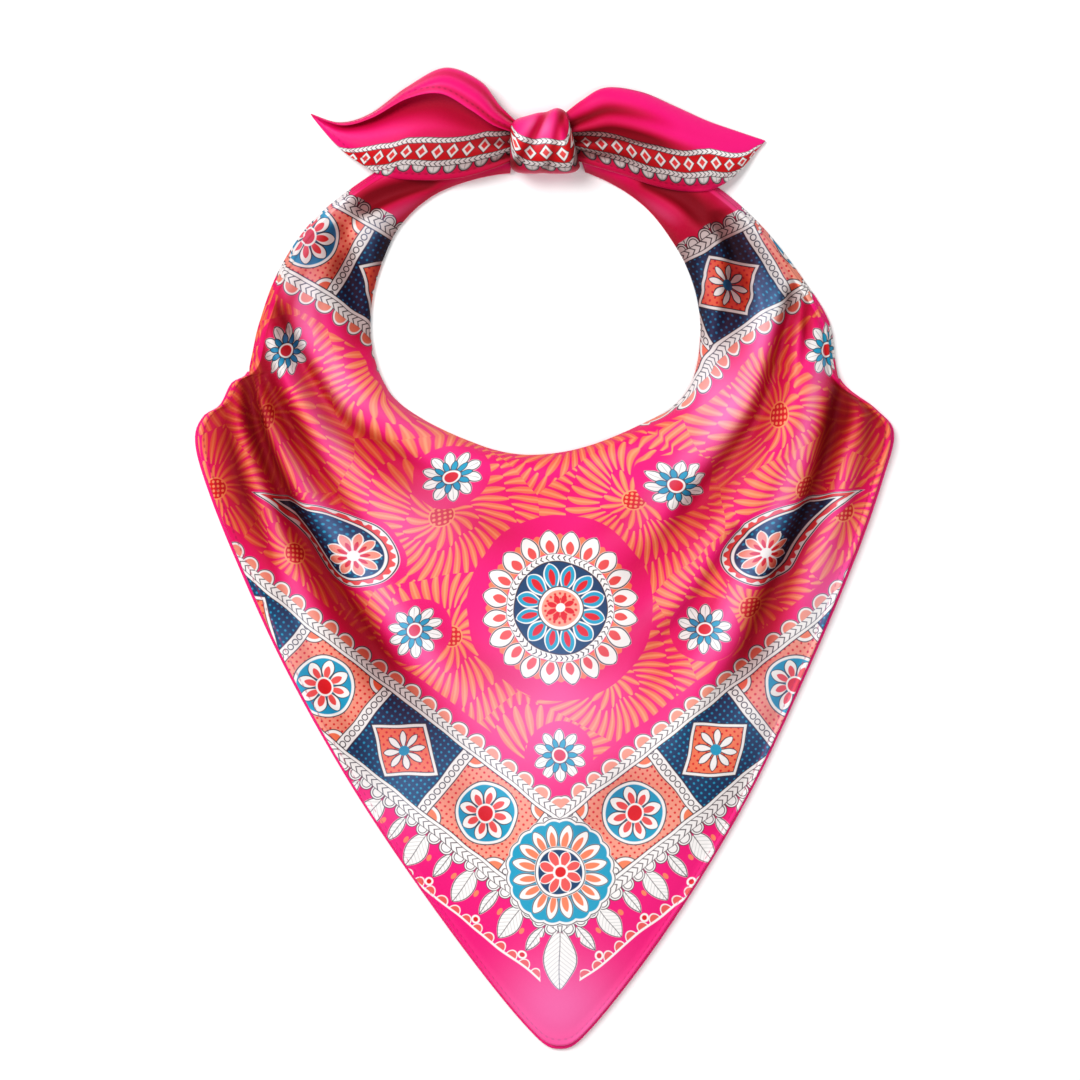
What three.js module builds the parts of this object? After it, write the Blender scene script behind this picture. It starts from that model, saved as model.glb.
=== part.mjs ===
// A silk square folded corner to corner, rolled at the neck, tied behind in a flat knot with two
// pointed tails, and laid on a table with its long corner towards the viewer.
// Millimetres, +Z up. The table is the plane z = 0, +Y runs from the long corner to the knot.
import * as THREE from "three";

// Cloth and lay
const clothWall = 1.5; // wall that stands for one ply of the twill
const underPlyWall = 1.2; // the ply that lies flat on the table
const tailWall = 1.2; // each ply of a tail
const seamGap = 0.3; // between pieces that lie on each other
const plyStep = 2.0; // the front ply stops this far inside the under ply
const hemWidth = 2.6; // rolled hem, seen from above
const hemRise = 0.8; // rolled hem, above the cloth

// Middle of the neck opening
const neckX = 0.4;
const neckY = 103.7;
const neckTurnUnder = 1.6; // the under ply stops this far behind the neck edge

// Knot: the loop that goes over the crossed ends
const knotY = 174.9;
const knotHalfDepth = 13.2;
const knotHeight = 21.5;
const knotSquareness = 2.7; // 2 would be an ellipse, seen from its side
const knotLeft = -14.2;
const knotRight = 12.6; // in its middle
const knotRightLean = 0.244; // how much nearer the far end of its right side is, per mm
const knotSlant = 2.2; // its right half lies this much further back
const knotPleats = 3;
const knotPleatRise = 0.4;

// The ring of cloth in sections, from the knot's left side round the front to its right side.
// neck, reach: the neck edge, as degrees and distance from the middle of the opening.
// edgeX, edgeY: the outer edge. crest: height of the rolls. rise: how far from the neck edge the
// cloth climbs. ease: how far from the outer edge it falls.
const sections = [
  { at: "knot left", neck: 104, reach: 60.4, edgeX: -11.5, edgeY: 181.5, crest: 6.6, rise: 3, ease: 3 },
  { at: "under left tail", neck: 113, reach: 62.2, edgeX: -34, edgeY: 178.5, crest: 7.2, rise: 5, ease: 4 },
  { at: "left tail hem", neck: 122, reach: 64.5, edgeX: -55, edgeY: 171, crest: 7.6, rise: 7, ease: 4 },
  { at: "left tail end", neck: 135, reach: 68.4, edgeX: -75, edgeY: 160.3, crest: 8.6, rise: 9, ease: 4 },
  { at: "band left top", neck: 149, reach: 71, edgeX: -97.4, edgeY: 142.4, crest: 11, rise: 12, ease: 5 },
  { at: "band left middle", neck: 163, reach: 71.7, edgeX: -111.6, edgeY: 121.5, crest: 12.5, rise: 13, ease: 5 },
  { at: "band left low", neck: 177, reach: 73, edgeX: -120, edgeY: 99, crest: 13, rise: 11, ease: 6 },
  { at: "left notch", neck: 190, reach: 74, edgeX: -124.9, edgeY: 79, crest: 13.5, rise: 9, ease: 7 },
  { at: "left corner", neck: 194, reach: 74.2, edgeX: -131.6, edgeY: 74.2, crest: 13.5, rise: 9, ease: 8 },
  { at: "left step", neck: 199, reach: 74.2, edgeX: -136.6, edgeY: 64.8, crest: 13.5, rise: 8, ease: 8 },
  { at: "left shoulder", neck: 204, reach: 73.8, edgeX: -143.6, edgeY: 60, crest: 13.5, rise: 7, ease: 10 },
  { at: "left hem top", neck: 208, reach: 73.3, edgeX: -147, edgeY: 50.5, crest: 13.5, rise: 7, ease: 10 },
  { at: "left hem 1", neck: 213, reach: 71.6, edgeX: -142.9, edgeY: 33, crest: 13.5, rise: 6, ease: 14 },
  { at: "left hem 2", neck: 221, reach: 68.2, edgeX: -130, edgeY: 0, crest: 13, rise: 5, ease: 20 },
  { at: "left hem 3", neck: 230, reach: 65, edgeX: -108.2, edgeY: -47.5, crest: 12, rise: 5, ease: 28 },
  { at: "left hem 4", neck: 240, reach: 62.6, edgeX: -78, edgeY: -100.5, crest: 11, rise: 4, ease: 36 },
  { at: "left hem 5", neck: 251, reach: 61.4, edgeX: -41, edgeY: -154.5, crest: 10, rise: 4, ease: 44 },
  { at: "tip left", neck: 262, reach: 60.4, edgeX: -8, edgeY: -196.3, crest: 9.5, rise: 4, ease: 50 },
  { at: "tip", neck: 270, reach: 59.6, edgeX: 6.7, edgeY: -206.3, crest: 9.5, rise: 4, ease: 52 },
  { at: "tip right", neck: 278, reach: 59.1, edgeX: 21.2, edgeY: -196.3, crest: 9.5, rise: 4, ease: 50 },
  { at: "right hem 5", neck: 289, reach: 59, edgeX: 53, edgeY: -154.5, crest: 10, rise: 4, ease: 44 },
  { at: "right hem 4", neck: 300, reach: 59.8, edgeX: 85, edgeY: -102, crest: 11, rise: 4, ease: 36 },
  { at: "right hem 3", neck: 310, reach: 61.8, edgeX: 110.9, edgeY: -47.5, crest: 12, rise: 5, ease: 28 },
  { at: "right hem 2", neck: 319, reach: 64.9, edgeX: 131, edgeY: 0, crest: 13, rise: 5, ease: 20 },
  { at: "right hem 1", neck: 327, reach: 67.6, edgeX: 142.6, edgeY: 33, crest: 13.5, rise: 6, ease: 14 },
  { at: "right hem top", neck: 334, reach: 68.3, edgeX: 147.4, edgeY: 53, crest: 13.5, rise: 7, ease: 10 },
  { at: "right shoulder", neck: 341, reach: 67.5, edgeX: 139.8, edgeY: 63.2, crest: 13.5, rise: 8, ease: 8 },
  { at: "right notch", neck: 350, reach: 66.2, edgeX: 124.6, edgeY: 76.2, crest: 13.5, rise: 9, ease: 8 },
  { at: "band right low", neck: 363, reach: 64.5, edgeX: 120, edgeY: 99.8, crest: 13, rise: 11, ease: 8 },
  { at: "band right middle", neck: 377, reach: 62.7, edgeX: 107.6, edgeY: 119.8, crest: 12.5, rise: 13, ease: 8 },
  { at: "band right top", neck: 391, reach: 61.3, edgeX: 91.2, edgeY: 140.6, crest: 11, rise: 12, ease: 7 },
  { at: "right tail end", neck: 405, reach: 61.2, edgeX: 71.5, edgeY: 157.6, crest: 8.6, rise: 9, ease: 4 },
  { at: "right tail hem", neck: 416, reach: 61, edgeX: 50, edgeY: 168, crest: 7.6, rise: 7, ease: 4 },
  { at: "under right tail", neck: 425, reach: 61, edgeX: 32, edgeY: 176.5, crest: 7.2, rise: 5, ease: 4 },
  { at: "knot right", neck: 434, reach: 61.4, edgeX: 11.5, edgeY: 181.5, crest: 6.6, rise: 3, ease: 3 },
];
const leftNotch = sections.findIndex((s) => s.at === "left notch");
const rightNotch = sections.findIndex((s) => s.at === "right notch");
const notchGap = 0.016; // half the cut between a band and the drape, in sections

// Troughs between the rolls, each an arc through three points in plan.
// deep: share of the height that is lost. wide: half width. fade: where along it it starts to end.
const troughs = [
  { at: "left collar", x0: -116, y0: 115, x1: -79, y1: 43, x2: 6, y2: 20, deep: 0.74, wide: 9, fade: 0.45 },
  { at: "left second", x0: -123, y0: 90, x1: -89, y1: 24, x2: -40, y2: -29, deep: 0.76, wide: 8, fade: 0.5 },
  { at: "left third", x0: -128, y0: 78, x1: -92, y1: -10, x2: -24, y2: -97, deep: 0.86, wide: 9.5, fade: 0.6 },
  { at: "left hem", x0: -139, y0: 64, x1: -118, y1: 0, x2: -66, y2: -100, deep: 0.5, wide: 6, fade: 0.3 },
  { at: "right collar", x0: 106, y0: 116, x1: 83, y1: 41, x2: 23, y2: -18, deep: 0.78, wide: 9, fade: 0.6 },
  { at: "right second", x0: 88, y0: 12, x1: 66, y1: -14, x2: 33, y2: -54, deep: 0.5, wide: 9, fade: 0.6 },
  { at: "right third", x0: 124, y0: 82, x1: 100, y1: -6, x2: 46, y2: -102, deep: 0.86, wide: 10, fade: 0.6 },
  { at: "right hem", x0: 135, y0: 66, x1: 134, y1: 36, x2: 114, y2: -12, deep: 0.45, wide: 7, fade: 0.4 },
  { at: "left band", x0: -60, y0: 156, x1: -90, y1: 117, x2: -72, y2: 74, deep: 0.5, wide: 6.5, fade: 0.6 },
  { at: "right band", x0: 44, y0: 157, x1: 80, y1: 113, x2: 66, y2: 71, deep: 0.55, wide: 7.5, fade: 0.6 },
];
const troughSteps = 28;

// Layers that show at a band's outer edge, outermost first.
const edgeLayers = [
  { inside: 0, height: 1.5 },
  { inside: 0.9, height: 1.8 },
  { inside: 1.1, height: 3.4 },
  { inside: 2.1, height: 3.8 },
  { inside: 2.3, height: 5.2 },
  { inside: 3.6, height: 6.0 },
];

// Tails, a row for each section from the knot out. low: the edge nearer the neck. high: the far edge.
// arch: how far the middle stands above the line between the two edges.
const leftTailFront = [
  { lowX: -14.5, lowY: 167.6, lowZ: 8.6, highX: -14.5, highY: 180.2, highZ: 9.6, arch: 3.6 },
  { lowX: -23, lowY: 163.8, lowZ: 8.2, highX: -22, highY: 181.8, highZ: 11.0, arch: 4.2 },
  { lowX: -36, lowY: 160.0, lowZ: 7.6, highX: -33, highY: 190.0, highZ: 11.4, arch: 4.2 },
  { lowX: -52, lowY: 159.2, lowZ: 7.0, highX: -47, highY: 194.6, highZ: 10.4, arch: 4.0 },
  { lowX: -67, lowY: 161.0, lowZ: 6.0, highX: -60, highY: 191.2, highZ: 8.4, arch: 3.8 },
  { lowX: -79.5, lowY: 168.0, lowZ: 4.0, highX: -73, highY: 184.6, highZ: 6.2, arch: 3.0 },
  { lowX: -88, lowY: 175.0, lowZ: 2.8, highX: -84, highY: 181.4, highZ: 4.0, arch: 1.6 },
  { lowX: -94.6, lowY: 181.8, lowZ: 1.8, highX: -93.6, highY: 183.8, highZ: 2.2, arch: 0.2 },
];
const leftTailBack = [
  { lowX: -14.5, lowY: 168.4, lowZ: 6.6, highX: -14.5, highY: 184.0, highZ: 6.8, arch: 2.0 },
  { lowX: -22, lowY: 165.8, lowZ: 6.2, highX: -18.4, highY: 190.6, highZ: 6.6, arch: 3.0 },
  { lowX: -36, lowY: 162.4, lowZ: 5.6, highX: -26.8, highY: 200.6, highZ: 5.2, arch: 3.6 },
  { lowX: -52, lowY: 161.4, lowZ: 5.0, highX: -41.5, highY: 206.2, highZ: 4.2, arch: 3.6 },
  { lowX: -67, lowY: 163.4, lowZ: 3.6, highX: -57.5, highY: 198.2, highZ: 3.0, arch: 3.2 },
  { lowX: -79, lowY: 169.8, lowZ: 1.4, highX: -73, highY: 187.2, highZ: 1.6, arch: 2.4 },
  { lowX: -88, lowY: 176.8, lowZ: 0.4, highX: -86, highY: 183.6, highZ: 0.4, arch: 1.2 },
  { lowX: -96.4, lowY: 184.6, lowZ: 0, highX: -98, highY: 187.3, highZ: 0, arch: 0.1 },
];
const rightTailFront = [
  { lowX: 14.8, lowY: 167.0, lowZ: 8.6, highX: 10.1, highY: 186.4, highZ: 9.6, arch: 3.6 },
  { lowX: 22.5, lowY: 164.6, lowZ: 8.2, highX: 16, highY: 192.8, highZ: 8.6, arch: 4.6 },
  { lowX: 33, lowY: 161.4, lowZ: 7.6, highX: 26, highY: 198.0, highZ: 6.8, arch: 5.4 },
  { lowX: 46, lowY: 157.0, lowZ: 7.4, highX: 41, highY: 196.2, highZ: 5.2, arch: 5.6 },
  { lowX: 58.5, lowY: 154.6, lowZ: 7.6, highX: 55.4, highY: 190.2, highZ: 4.0, arch: 5.0 },
  { lowX: 70, lowY: 155.4, lowZ: 6.4, highX: 68.8, highY: 184.2, highZ: 3.0, arch: 3.6 },
  { lowX: 80.4, lowY: 161.4, lowZ: 3.4, highX: 81, highY: 179.9, highZ: 2.2, arch: 2.0 },
  { lowX: 89.8, lowY: 172.6, lowZ: 1.8, highX: 93, highY: 175.8, highZ: 1.8, arch: 0.2 },
];
const rightTailBack = [
  { lowX: 14.8, lowY: 168.4, lowZ: 6.6, highX: 10.6, highY: 184.4, highZ: 6.8, arch: 2.0 },
  { lowX: 22.5, lowY: 166.2, lowZ: 6.0, highX: 17, highY: 190.4, highZ: 6.0, arch: 3.0 },
  { lowX: 33, lowY: 163.2, lowZ: 5.4, highX: 27, highY: 195.8, highZ: 4.0, arch: 3.8 },
  { lowX: 46, lowY: 158.8, lowZ: 5.4, highX: 41, highY: 194.2, highZ: 2.4, arch: 3.8 },
  { lowX: 58.5, lowY: 156.4, lowZ: 5.6, highX: 55, highY: 188.4, highZ: 1.4, arch: 3.4 },
  { lowX: 70, lowY: 157.2, lowZ: 4.0, highX: 68, highY: 182.6, highZ: 0.6, arch: 2.4 },
  { lowX: 79.8, lowY: 163.0, lowZ: 1.0, highX: 80, highY: 178.6, highZ: 0, arch: 1.2 },
  { lowX: 88.6, lowY: 173.0, lowZ: 0, highX: 90.4, highY: 174.8, highZ: 0, arch: 0.1 },
];
const tailGathers = 2.5; // soft pleats that leave the knot, across a tail
const tailGatherRise = 0.9;
const tailGatherReach = 0.28; // share of the tail's length
const tailClearance = 1.5; // over what it rests on, before the wall's slope takes its share
const feel = 2.2; // how far round a point its support is looked for

// Mesh density
const drapeColumns = 46;
const drapeRows = 19;
const bandColumns = 17;
const bandRows = 12;
const tailColumns = 17;
const tailRows = 9;
const knotRound = 20;
const knotAcross = 12;
const plyOutlineSteps = 64;

// Surface colours, roughness and metalness
const silk = { roughness: 0.38, metalness: 0 };
const pinkPrint = new THREE.MeshStandardMaterial({ color: 0xf03a86, ...silk });
const deepPink = new THREE.MeshStandardMaterial({ color: 0xd41c66, ...silk });

const lerp = THREE.MathUtils.lerp;

function smooth(from, to, value) {
  const t = THREE.MathUtils.clamp((value - from) / (to - from), 0, 1);
  return t * t * (3 - 2 * t);
}

// A column of a table at any place between its rows, as a smooth curve through them.
function readColumn(rows, column, place) {
  const last = rows.length - 1;
  const i = THREE.MathUtils.clamp(Math.floor(place), 0, last - 1);
  const t = place - i;
  const value = (k) => rows[THREE.MathUtils.clamp(k, 0, last)][column];
  const [a, b, c, d] = [value(i - 1), value(i), value(i + 1), value(i + 2)];
  const slopeIn = (c - a) / 2;
  const slopeOut = (d - b) / 2;
  const t2 = t * t;
  const t3 = t2 * t;
  return (
    (2 * t3 - 3 * t2 + 1) * b + (t3 - 2 * t2 + t) * slopeIn + (3 * t2 - 2 * t3) * c + (t3 - t2) * slopeOut
  );
}

function readRow(rows, place) {
  const columns = Object.keys(rows[0]).filter((name) => name !== "at");
  return Object.fromEntries(columns.map((name) => [name, readColumn(rows, name, place)]));
}

// A trough as a run of points in plan, each with how far along it lies.
function troughLine(row) {
  const start = new THREE.Vector2(row.x0, row.y0);
  const middle = new THREE.Vector2(row.x1, row.y1);
  const end = new THREE.Vector2(row.x2, row.y2);
  const pull = middle.clone().multiplyScalar(2).sub(start.clone().add(end).multiplyScalar(0.5));
  return new THREE.QuadraticBezierCurve(start, pull, end).getPoints(troughSteps);
}
const troughLines = troughs.map(troughLine);

// Share of the height that is left at a point in plan, after all troughs.
function troughShare(x, y) {
  let share = 1;
  troughs.forEach((row, k) => {
    const line = troughLines[k];
    let nearest = Infinity;
    let along = 0;
    for (let i = 0; i < troughSteps; i++) {
      const [a, b] = [line[i], line[i + 1]];
      const dx = b.x - a.x;
      const dy = b.y - a.y;
      const t = THREE.MathUtils.clamp(((x - a.x) * dx + (y - a.y) * dy) / (dx * dx + dy * dy), 0, 1);
      const distance = Math.hypot(x - a.x - t * dx, y - a.y - t * dy);
      if (distance < nearest) {
        nearest = distance;
        along = (i + t) / troughSteps;
      }
    }
    const ending = 1 - smooth(row.fade, 1, along);
    share *= 1 - row.deep * ending * Math.exp(-((nearest / row.wide) ** 2));
  });
  return share;
}

// One line across the ring at a place in the sections: from the neck edge to the outer edge.
function crossLine(place, outerInset) {
  const row = readRow(sections, place);
  const turn = THREE.MathUtils.degToRad(row.neck);
  const inner = new THREE.Vector2(neckX + row.reach * Math.cos(turn), neckY + row.reach * Math.sin(turn));
  const outer = new THREE.Vector2(row.edgeX, row.edgeY);
  const length = inner.distanceTo(outer);
  outer.lerp(inner, outerInset / length);
  return { ...row, inner, outer, length: length - outerInset };
}

// Height of the rolls above the cloth's own level.
function rollHeight(line, fromNeck, x, y) {
  const climb = 1 - Math.exp(-fromNeck / line.rise);
  const fall = 1 - Math.exp(-(line.length - fromNeck) / line.ease);
  return line.crest * climb * fall * troughShare(x, y);
}

// A closed solid between two grids of points that face each other. Each four-sided cell is split
// along its shorter diagonal, the same way on both faces.
function slab(top, bottom) {
  const columns = top.length;
  const rows = top[0].length;
  const ring = rows * 2;
  const splitDown = (i, j) =>
    top[i][j + 1].distanceTo(top[i + 1][j]) <= top[i][j].distanceTo(top[i + 1][j + 1]);
  const positions = [];
  for (let i = 0; i < columns; i++) {
    top[i].forEach((p) => positions.push(p.x, p.y, p.z));
    [...bottom[i]].reverse().forEach((p) => positions.push(p.x, p.y, p.z));
  }
  const index = [];
  for (let i = 0; i < columns - 1; i++) {
    for (let j = 0; j < ring; j++) {
      const a = i * ring + j;
      const b = i * ring + ((j + 1) % ring);
      const onTop = j < rows - 1;
      const onBottom = j >= rows && j < ring - 1;
      const down = onTop ? splitDown(i, j) : onBottom ? !splitDown(i, ring - 2 - j) : true;
      if (down) index.push(a, b, a + ring, b, b + ring, a + ring);
      else index.push(a, b, b + ring, a, b + ring, a + ring);
    }
  }
  for (let j = 0; j < rows - 1; j++) {
    const [a, b, c, d] = [j, j + 1, ring - 2 - j, ring - 1 - j];
    index.push(a, d, b, b, d, c);
    const far = (columns - 1) * ring;
    index.push(far + a, far + b, far + d, far + b, far + c, far + d);
  }
  const geometry = new THREE.BufferGeometry();
  geometry.setAttribute("position", new THREE.Float32BufferAttribute(positions, 3));
  geometry.setIndex(index);
  return facingOut(geometry);
}

// Six times the signed volume tells whether the faces point out; if they don't, each is turned.
function facingOut(geometry) {
  const p = geometry.getAttribute("position");
  const index = geometry.getIndex();
  const [a, b, c] = [new THREE.Vector3(), new THREE.Vector3(), new THREE.Vector3()];
  let volume = 0;
  for (let i = 0; i < index.count; i += 3) {
    a.fromBufferAttribute(p, index.getX(i));
    b.fromBufferAttribute(p, index.getX(i + 1));
    c.fromBufferAttribute(p, index.getX(i + 2));
    volume += a.dot(b.cross(c));
  }
  if (volume < 0) {
    for (let i = 0; i < index.count; i += 3) {
      const kept = index.getX(i + 1);
      index.setX(i + 1, index.getX(i + 2));
      index.setX(i + 2, kept);
    }
  }
  geometry.computeVertexNormals();
  return geometry;
}

// The far side of a wall: each point of a grid moved back along the surface's normal.
function backOf(grid, wall, lowest) {
  return grid.map((line, i) =>
    line.map((p, j) => {
      const along = grid[Math.min(i + 1, grid.length - 1)][j].clone().sub(grid[Math.max(i - 1, 0)][j]);
      const across = line[Math.min(j + 1, line.length - 1)].clone().sub(line[Math.max(j - 1, 0)]);
      const normal = along.cross(across).normalize();
      if (normal.z < 0) normal.negate();
      const atEnd = i === 0 || i === grid.length - 1;
      const q = atEnd ? p.clone().setZ(p.z - wall) : p.clone().addScaledVector(normal, -wall);
      q.z = Math.max(q.z, lowest);
      return q;
    }),
  );
}

// Front ply: a wall with soft troughs over the flat ply, and its rolled hem along the outer edge.
function drapeGeometry() {
  const lowest = underPlyWall + seamGap;
  const neckPlaces = [0, 1.3, 3.2, 5.8];
  const hemPlaces = [hemWidth, hemWidth * 0.72, hemWidth * 0.45, hemWidth * 0.2, 0];
  const top = [];
  for (let i = 0; i <= drapeColumns; i++) {
    const place = lerp(leftNotch + notchGap, rightNotch - notchGap, i / drapeColumns);
    const line = crossLine(place, plyStep);
    const middle = [];
    const start = neckPlaces.at(-1);
    for (let j = 1; j < drapeRows; j++) {
      middle.push(lerp(start, line.length - hemWidth, (j / drapeRows) ** 1.3));
    }
    const places = [...neckPlaces, ...middle, ...hemPlaces.map((inside) => line.length - inside)];
    top.push(
      places.map((fromNeck) => {
        const plan = line.inner.clone().lerp(line.outer, fromNeck / line.length);
        const inside = line.length - fromNeck;
        const hem = inside < hemWidth ? hemRise * Math.sin((Math.PI * inside) / hemWidth) : 0;
        const z = lowest + clothWall + rollHeight(line, fromNeck, plan.x, plan.y) + hem;
        return new THREE.Vector3(plan.x, plan.y, z);
      }),
    );
  }
  return slab(top, backOf(top, clothWall, lowest));
}

// Under ply: flat on the table, a little larger than the front ply at the hems.
function underPlyGeometry() {
  const outer = [];
  const inner = [];
  for (let i = 0; i <= plyOutlineSteps; i++) {
    const place = lerp(leftNotch + notchGap, rightNotch - notchGap, i / plyOutlineSteps);
    const line = crossLine(place, 0);
    outer.push(line.outer);
    inner.push(line.inner.clone().lerp(line.outer, neckTurnUnder / line.length));
  }
  const shape = new THREE.Shape([...outer, ...inner.reverse()]);
  return new THREE.ExtrudeGeometry(shape, { depth: underPlyWall, bevelEnabled: false });
}

// A band: the rolled layers from a notch to the knot, one rounded solid that shows its layers outside.
function bandGeometry(fromPlace, toPlace, side) {
  const top = [];
  const bottom = [];
  const layerInset = edgeLayers.at(-1).inside;
  for (let i = 0; i <= bandColumns; i++) {
    const place = lerp(fromPlace, toPlace, i / bandColumns);
    const line = crossLine(place, 0);
    const places = [];
    for (let j = 0; j < bandRows; j++) {
      places.push(lerp(0, line.length - layerInset, (j / bandRows) ** 1.2));
    }
    const layers = [...edgeLayers].reverse();
    const cross = places.map((fromNeck) => {
      const plan = line.inner.clone().lerp(line.outer, fromNeck / line.length);
      return { plan, height: clothWall + rollHeight(line, fromNeck, plan.x, plan.y) };
    });
    const shoulder = line.inner.clone().lerp(line.outer, 1 - layerInset / line.length);
    const stackHeight = rollHeight(line, line.length - layerInset, shoulder.x, shoulder.y);
    const stack = Math.min(1, stackHeight / (layers[0].height - clothWall));
    layers.forEach(({ inside, height }) => {
      const plan = line.inner.clone().lerp(line.outer, 1 - inside / line.length);
      cross.push({ plan, height: clothWall + (height - clothWall) * stack });
    });
    top.push(cross.map(({ plan, height }) => new THREE.Vector3(plan.x, plan.y, height)));
    bottom.push(cross.map(({ plan }) => new THREE.Vector3(plan.x, plan.y, 0)));
  }
  [top, bottom].forEach((grid) => meetKnot(fromPlace === 0 ? grid[0] : grid.at(-1), side));
  return slab(top, bottom);
}

// One ply of a tail: it rests on what lies below it, arched between its edges, with soft gathers
// where it leaves the knot.
function tailGeometry(rows, side, below) {
  const last = rows.length - 1;
  const underside = [];
  for (let i = 0; i <= tailColumns; i++) {
    const along = (i / tailColumns) ** 1.15;
    const row = readRow(rows, along * last);
    const gather = tailGatherRise * Math.exp(-along / tailGatherReach) * smooth(0, 0.1, along);
    const line = [];
    for (let j = 0; j <= tailRows; j++) {
      const t = j / tailRows;
      const x = lerp(row.lowX, row.highX, t);
      const y = lerp(row.lowY, row.highY, t);
      const wave = gather * Math.cos(2 * Math.PI * tailGathers * t);
      const own = lerp(row.lowZ, row.highZ, t) + row.arch * 4 * t * (1 - t) + wave;
      line.push(new THREE.Vector3(x, y, Math.max(own, heightOf(below, x, y) + tailClearance)));
    }
    underside.push(line);
  }
  meetKnot(underside[0], side);
  return slab(backOf(underside, -tailWall, 0), underside);
}

// The highest surface under a point and just round it; the table where there is none.
function heightOf(meshes, x, y) {
  const caster = new THREE.Raycaster();
  const down = new THREE.Vector3(0, 0, -1);
  let highest = 0;
  for (const [dx, dy] of [[0, 0], [feel, 0], [-feel, 0], [0, feel], [0, -feel]]) {
    caster.set(new THREE.Vector3(x + dx, y + dy, 100), down);
    const hit = caster.intersectObjects(meshes)[0];
    if (hit) highest = Math.max(highest, hit.point.z);
  }
  return highest;
}

// The sides of the knot in plan, and the end of a strip that comes up to one of them.
function knotSide(side, y) {
  return side < 0 ? knotLeft : knotRight - knotRightLean * (y - knotY);
}

function meetKnot(line, side) {
  line.forEach((p) => p.setX(knotSide(side, p.y) + side * seamGap));
}

// The knot: a rounded, pleated loop, squeezed flat by its own pull.
function knotGeometry() {
  const power = 2 / knotSquareness;
  const shape = (value) => Math.sign(value) * Math.abs(value) ** power;
  const top = [];
  const bottom = [];
  for (let k = 0; k <= knotAcross; k++) {
    const across = k / knotAcross;
    const pleat = knotPleatRise * (1 - Math.cos(2 * Math.PI * knotPleats * across));
    const round = 0.1 + 0.8 * Math.sin(Math.PI * across) ** 0.5;
    const shrink = 1.3 * (1 - round);
    const pointAt = (turn, rise) => {
      const y = knotY + (knotHalfDepth - rise - shrink) * shape(-Math.cos(turn));
      const z = knotHeight / 2 + (knotHeight / 2 - rise - shrink) * shape(Math.sin(turn));
      const moved = y + knotSlant * (across - 0.5) * smooth(knotY - knotHalfDepth, knotY + knotHalfDepth, y);
      return new THREE.Vector3(lerp(knotLeft, knotSide(1, moved), across), moved, z);
    };
    const upper = [];
    const lower = [];
    for (let i = 0; i < knotRound; i++) {
      const turn = Math.PI * lerp(0.03, 0.97, i / (knotRound - 1));
      upper.push(pointAt(turn, pleat * Math.sin(turn)));
      lower.push(pointAt(-turn, 0));
    }
    top.push(upper);
    bottom.push(lower);
  }
  return slab(top, bottom);
}

function piece(name, geometry, material) {
  const mesh = new THREE.Mesh(geometry, material);
  mesh.name = name;
  return mesh;
}

const lastSection = sections.length - 1;
const bandLeft = piece("band_left", bandGeometry(0, leftNotch - notchGap, -1), pinkPrint);
const bandRight = piece("band_right", bandGeometry(rightNotch + notchGap, lastSection, 1), pinkPrint);
const leftBack = piece("tail_left_back", tailGeometry(leftTailBack, -1, [bandLeft]), deepPink);
const rightBack = piece("tail_right_back", tailGeometry(rightTailBack, 1, [bandRight]), deepPink);
const leftFront = tailGeometry(leftTailFront, -1, [bandLeft, leftBack]);
const rightFront = tailGeometry(rightTailFront, 1, [bandRight, rightBack]);

const scarf = new THREE.Group();
scarf.add(
  piece("under_ply", underPlyGeometry(), deepPink),
  piece("front_drape", drapeGeometry(), pinkPrint),
  bandLeft,
  bandRight,
  leftBack,
  piece("tail_left_front", leftFront, pinkPrint),
  rightBack,
  piece("tail_right_front", rightFront, pinkPrint),
  piece("knot", knotGeometry(), pinkPrint),
);

// The origin is the middle of the scarf's box in plan, on the table.
const reach = new THREE.Box3().setFromObject(scarf);
const middle = reach.getCenter(new THREE.Vector3());
scarf.position.set(-middle.x, -middle.y, -reach.min.z);

export default scarf;
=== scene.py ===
import math

import bmesh
import bpy
import numpy as np
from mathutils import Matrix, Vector
from mathutils.bvhtree import BVHTree


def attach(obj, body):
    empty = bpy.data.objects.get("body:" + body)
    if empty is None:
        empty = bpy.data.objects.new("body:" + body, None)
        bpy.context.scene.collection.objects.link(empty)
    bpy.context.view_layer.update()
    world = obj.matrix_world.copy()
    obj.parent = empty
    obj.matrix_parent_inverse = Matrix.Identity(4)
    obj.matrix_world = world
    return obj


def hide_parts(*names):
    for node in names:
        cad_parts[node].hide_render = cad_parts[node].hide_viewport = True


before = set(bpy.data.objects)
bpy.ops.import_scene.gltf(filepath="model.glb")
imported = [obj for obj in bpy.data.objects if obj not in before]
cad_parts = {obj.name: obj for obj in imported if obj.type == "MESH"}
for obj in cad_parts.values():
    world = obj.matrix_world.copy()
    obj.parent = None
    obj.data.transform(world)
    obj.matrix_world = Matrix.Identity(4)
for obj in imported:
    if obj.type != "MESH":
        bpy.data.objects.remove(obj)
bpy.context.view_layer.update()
print("frame loaded")

mm = 0.001
shiftX, shiftY = -0.19, -0.18  # from the drawing's zero to the middle of the laid scarf, mm
noStitches = 60  # a distance from the hem, in mm, where no stitches show

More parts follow.
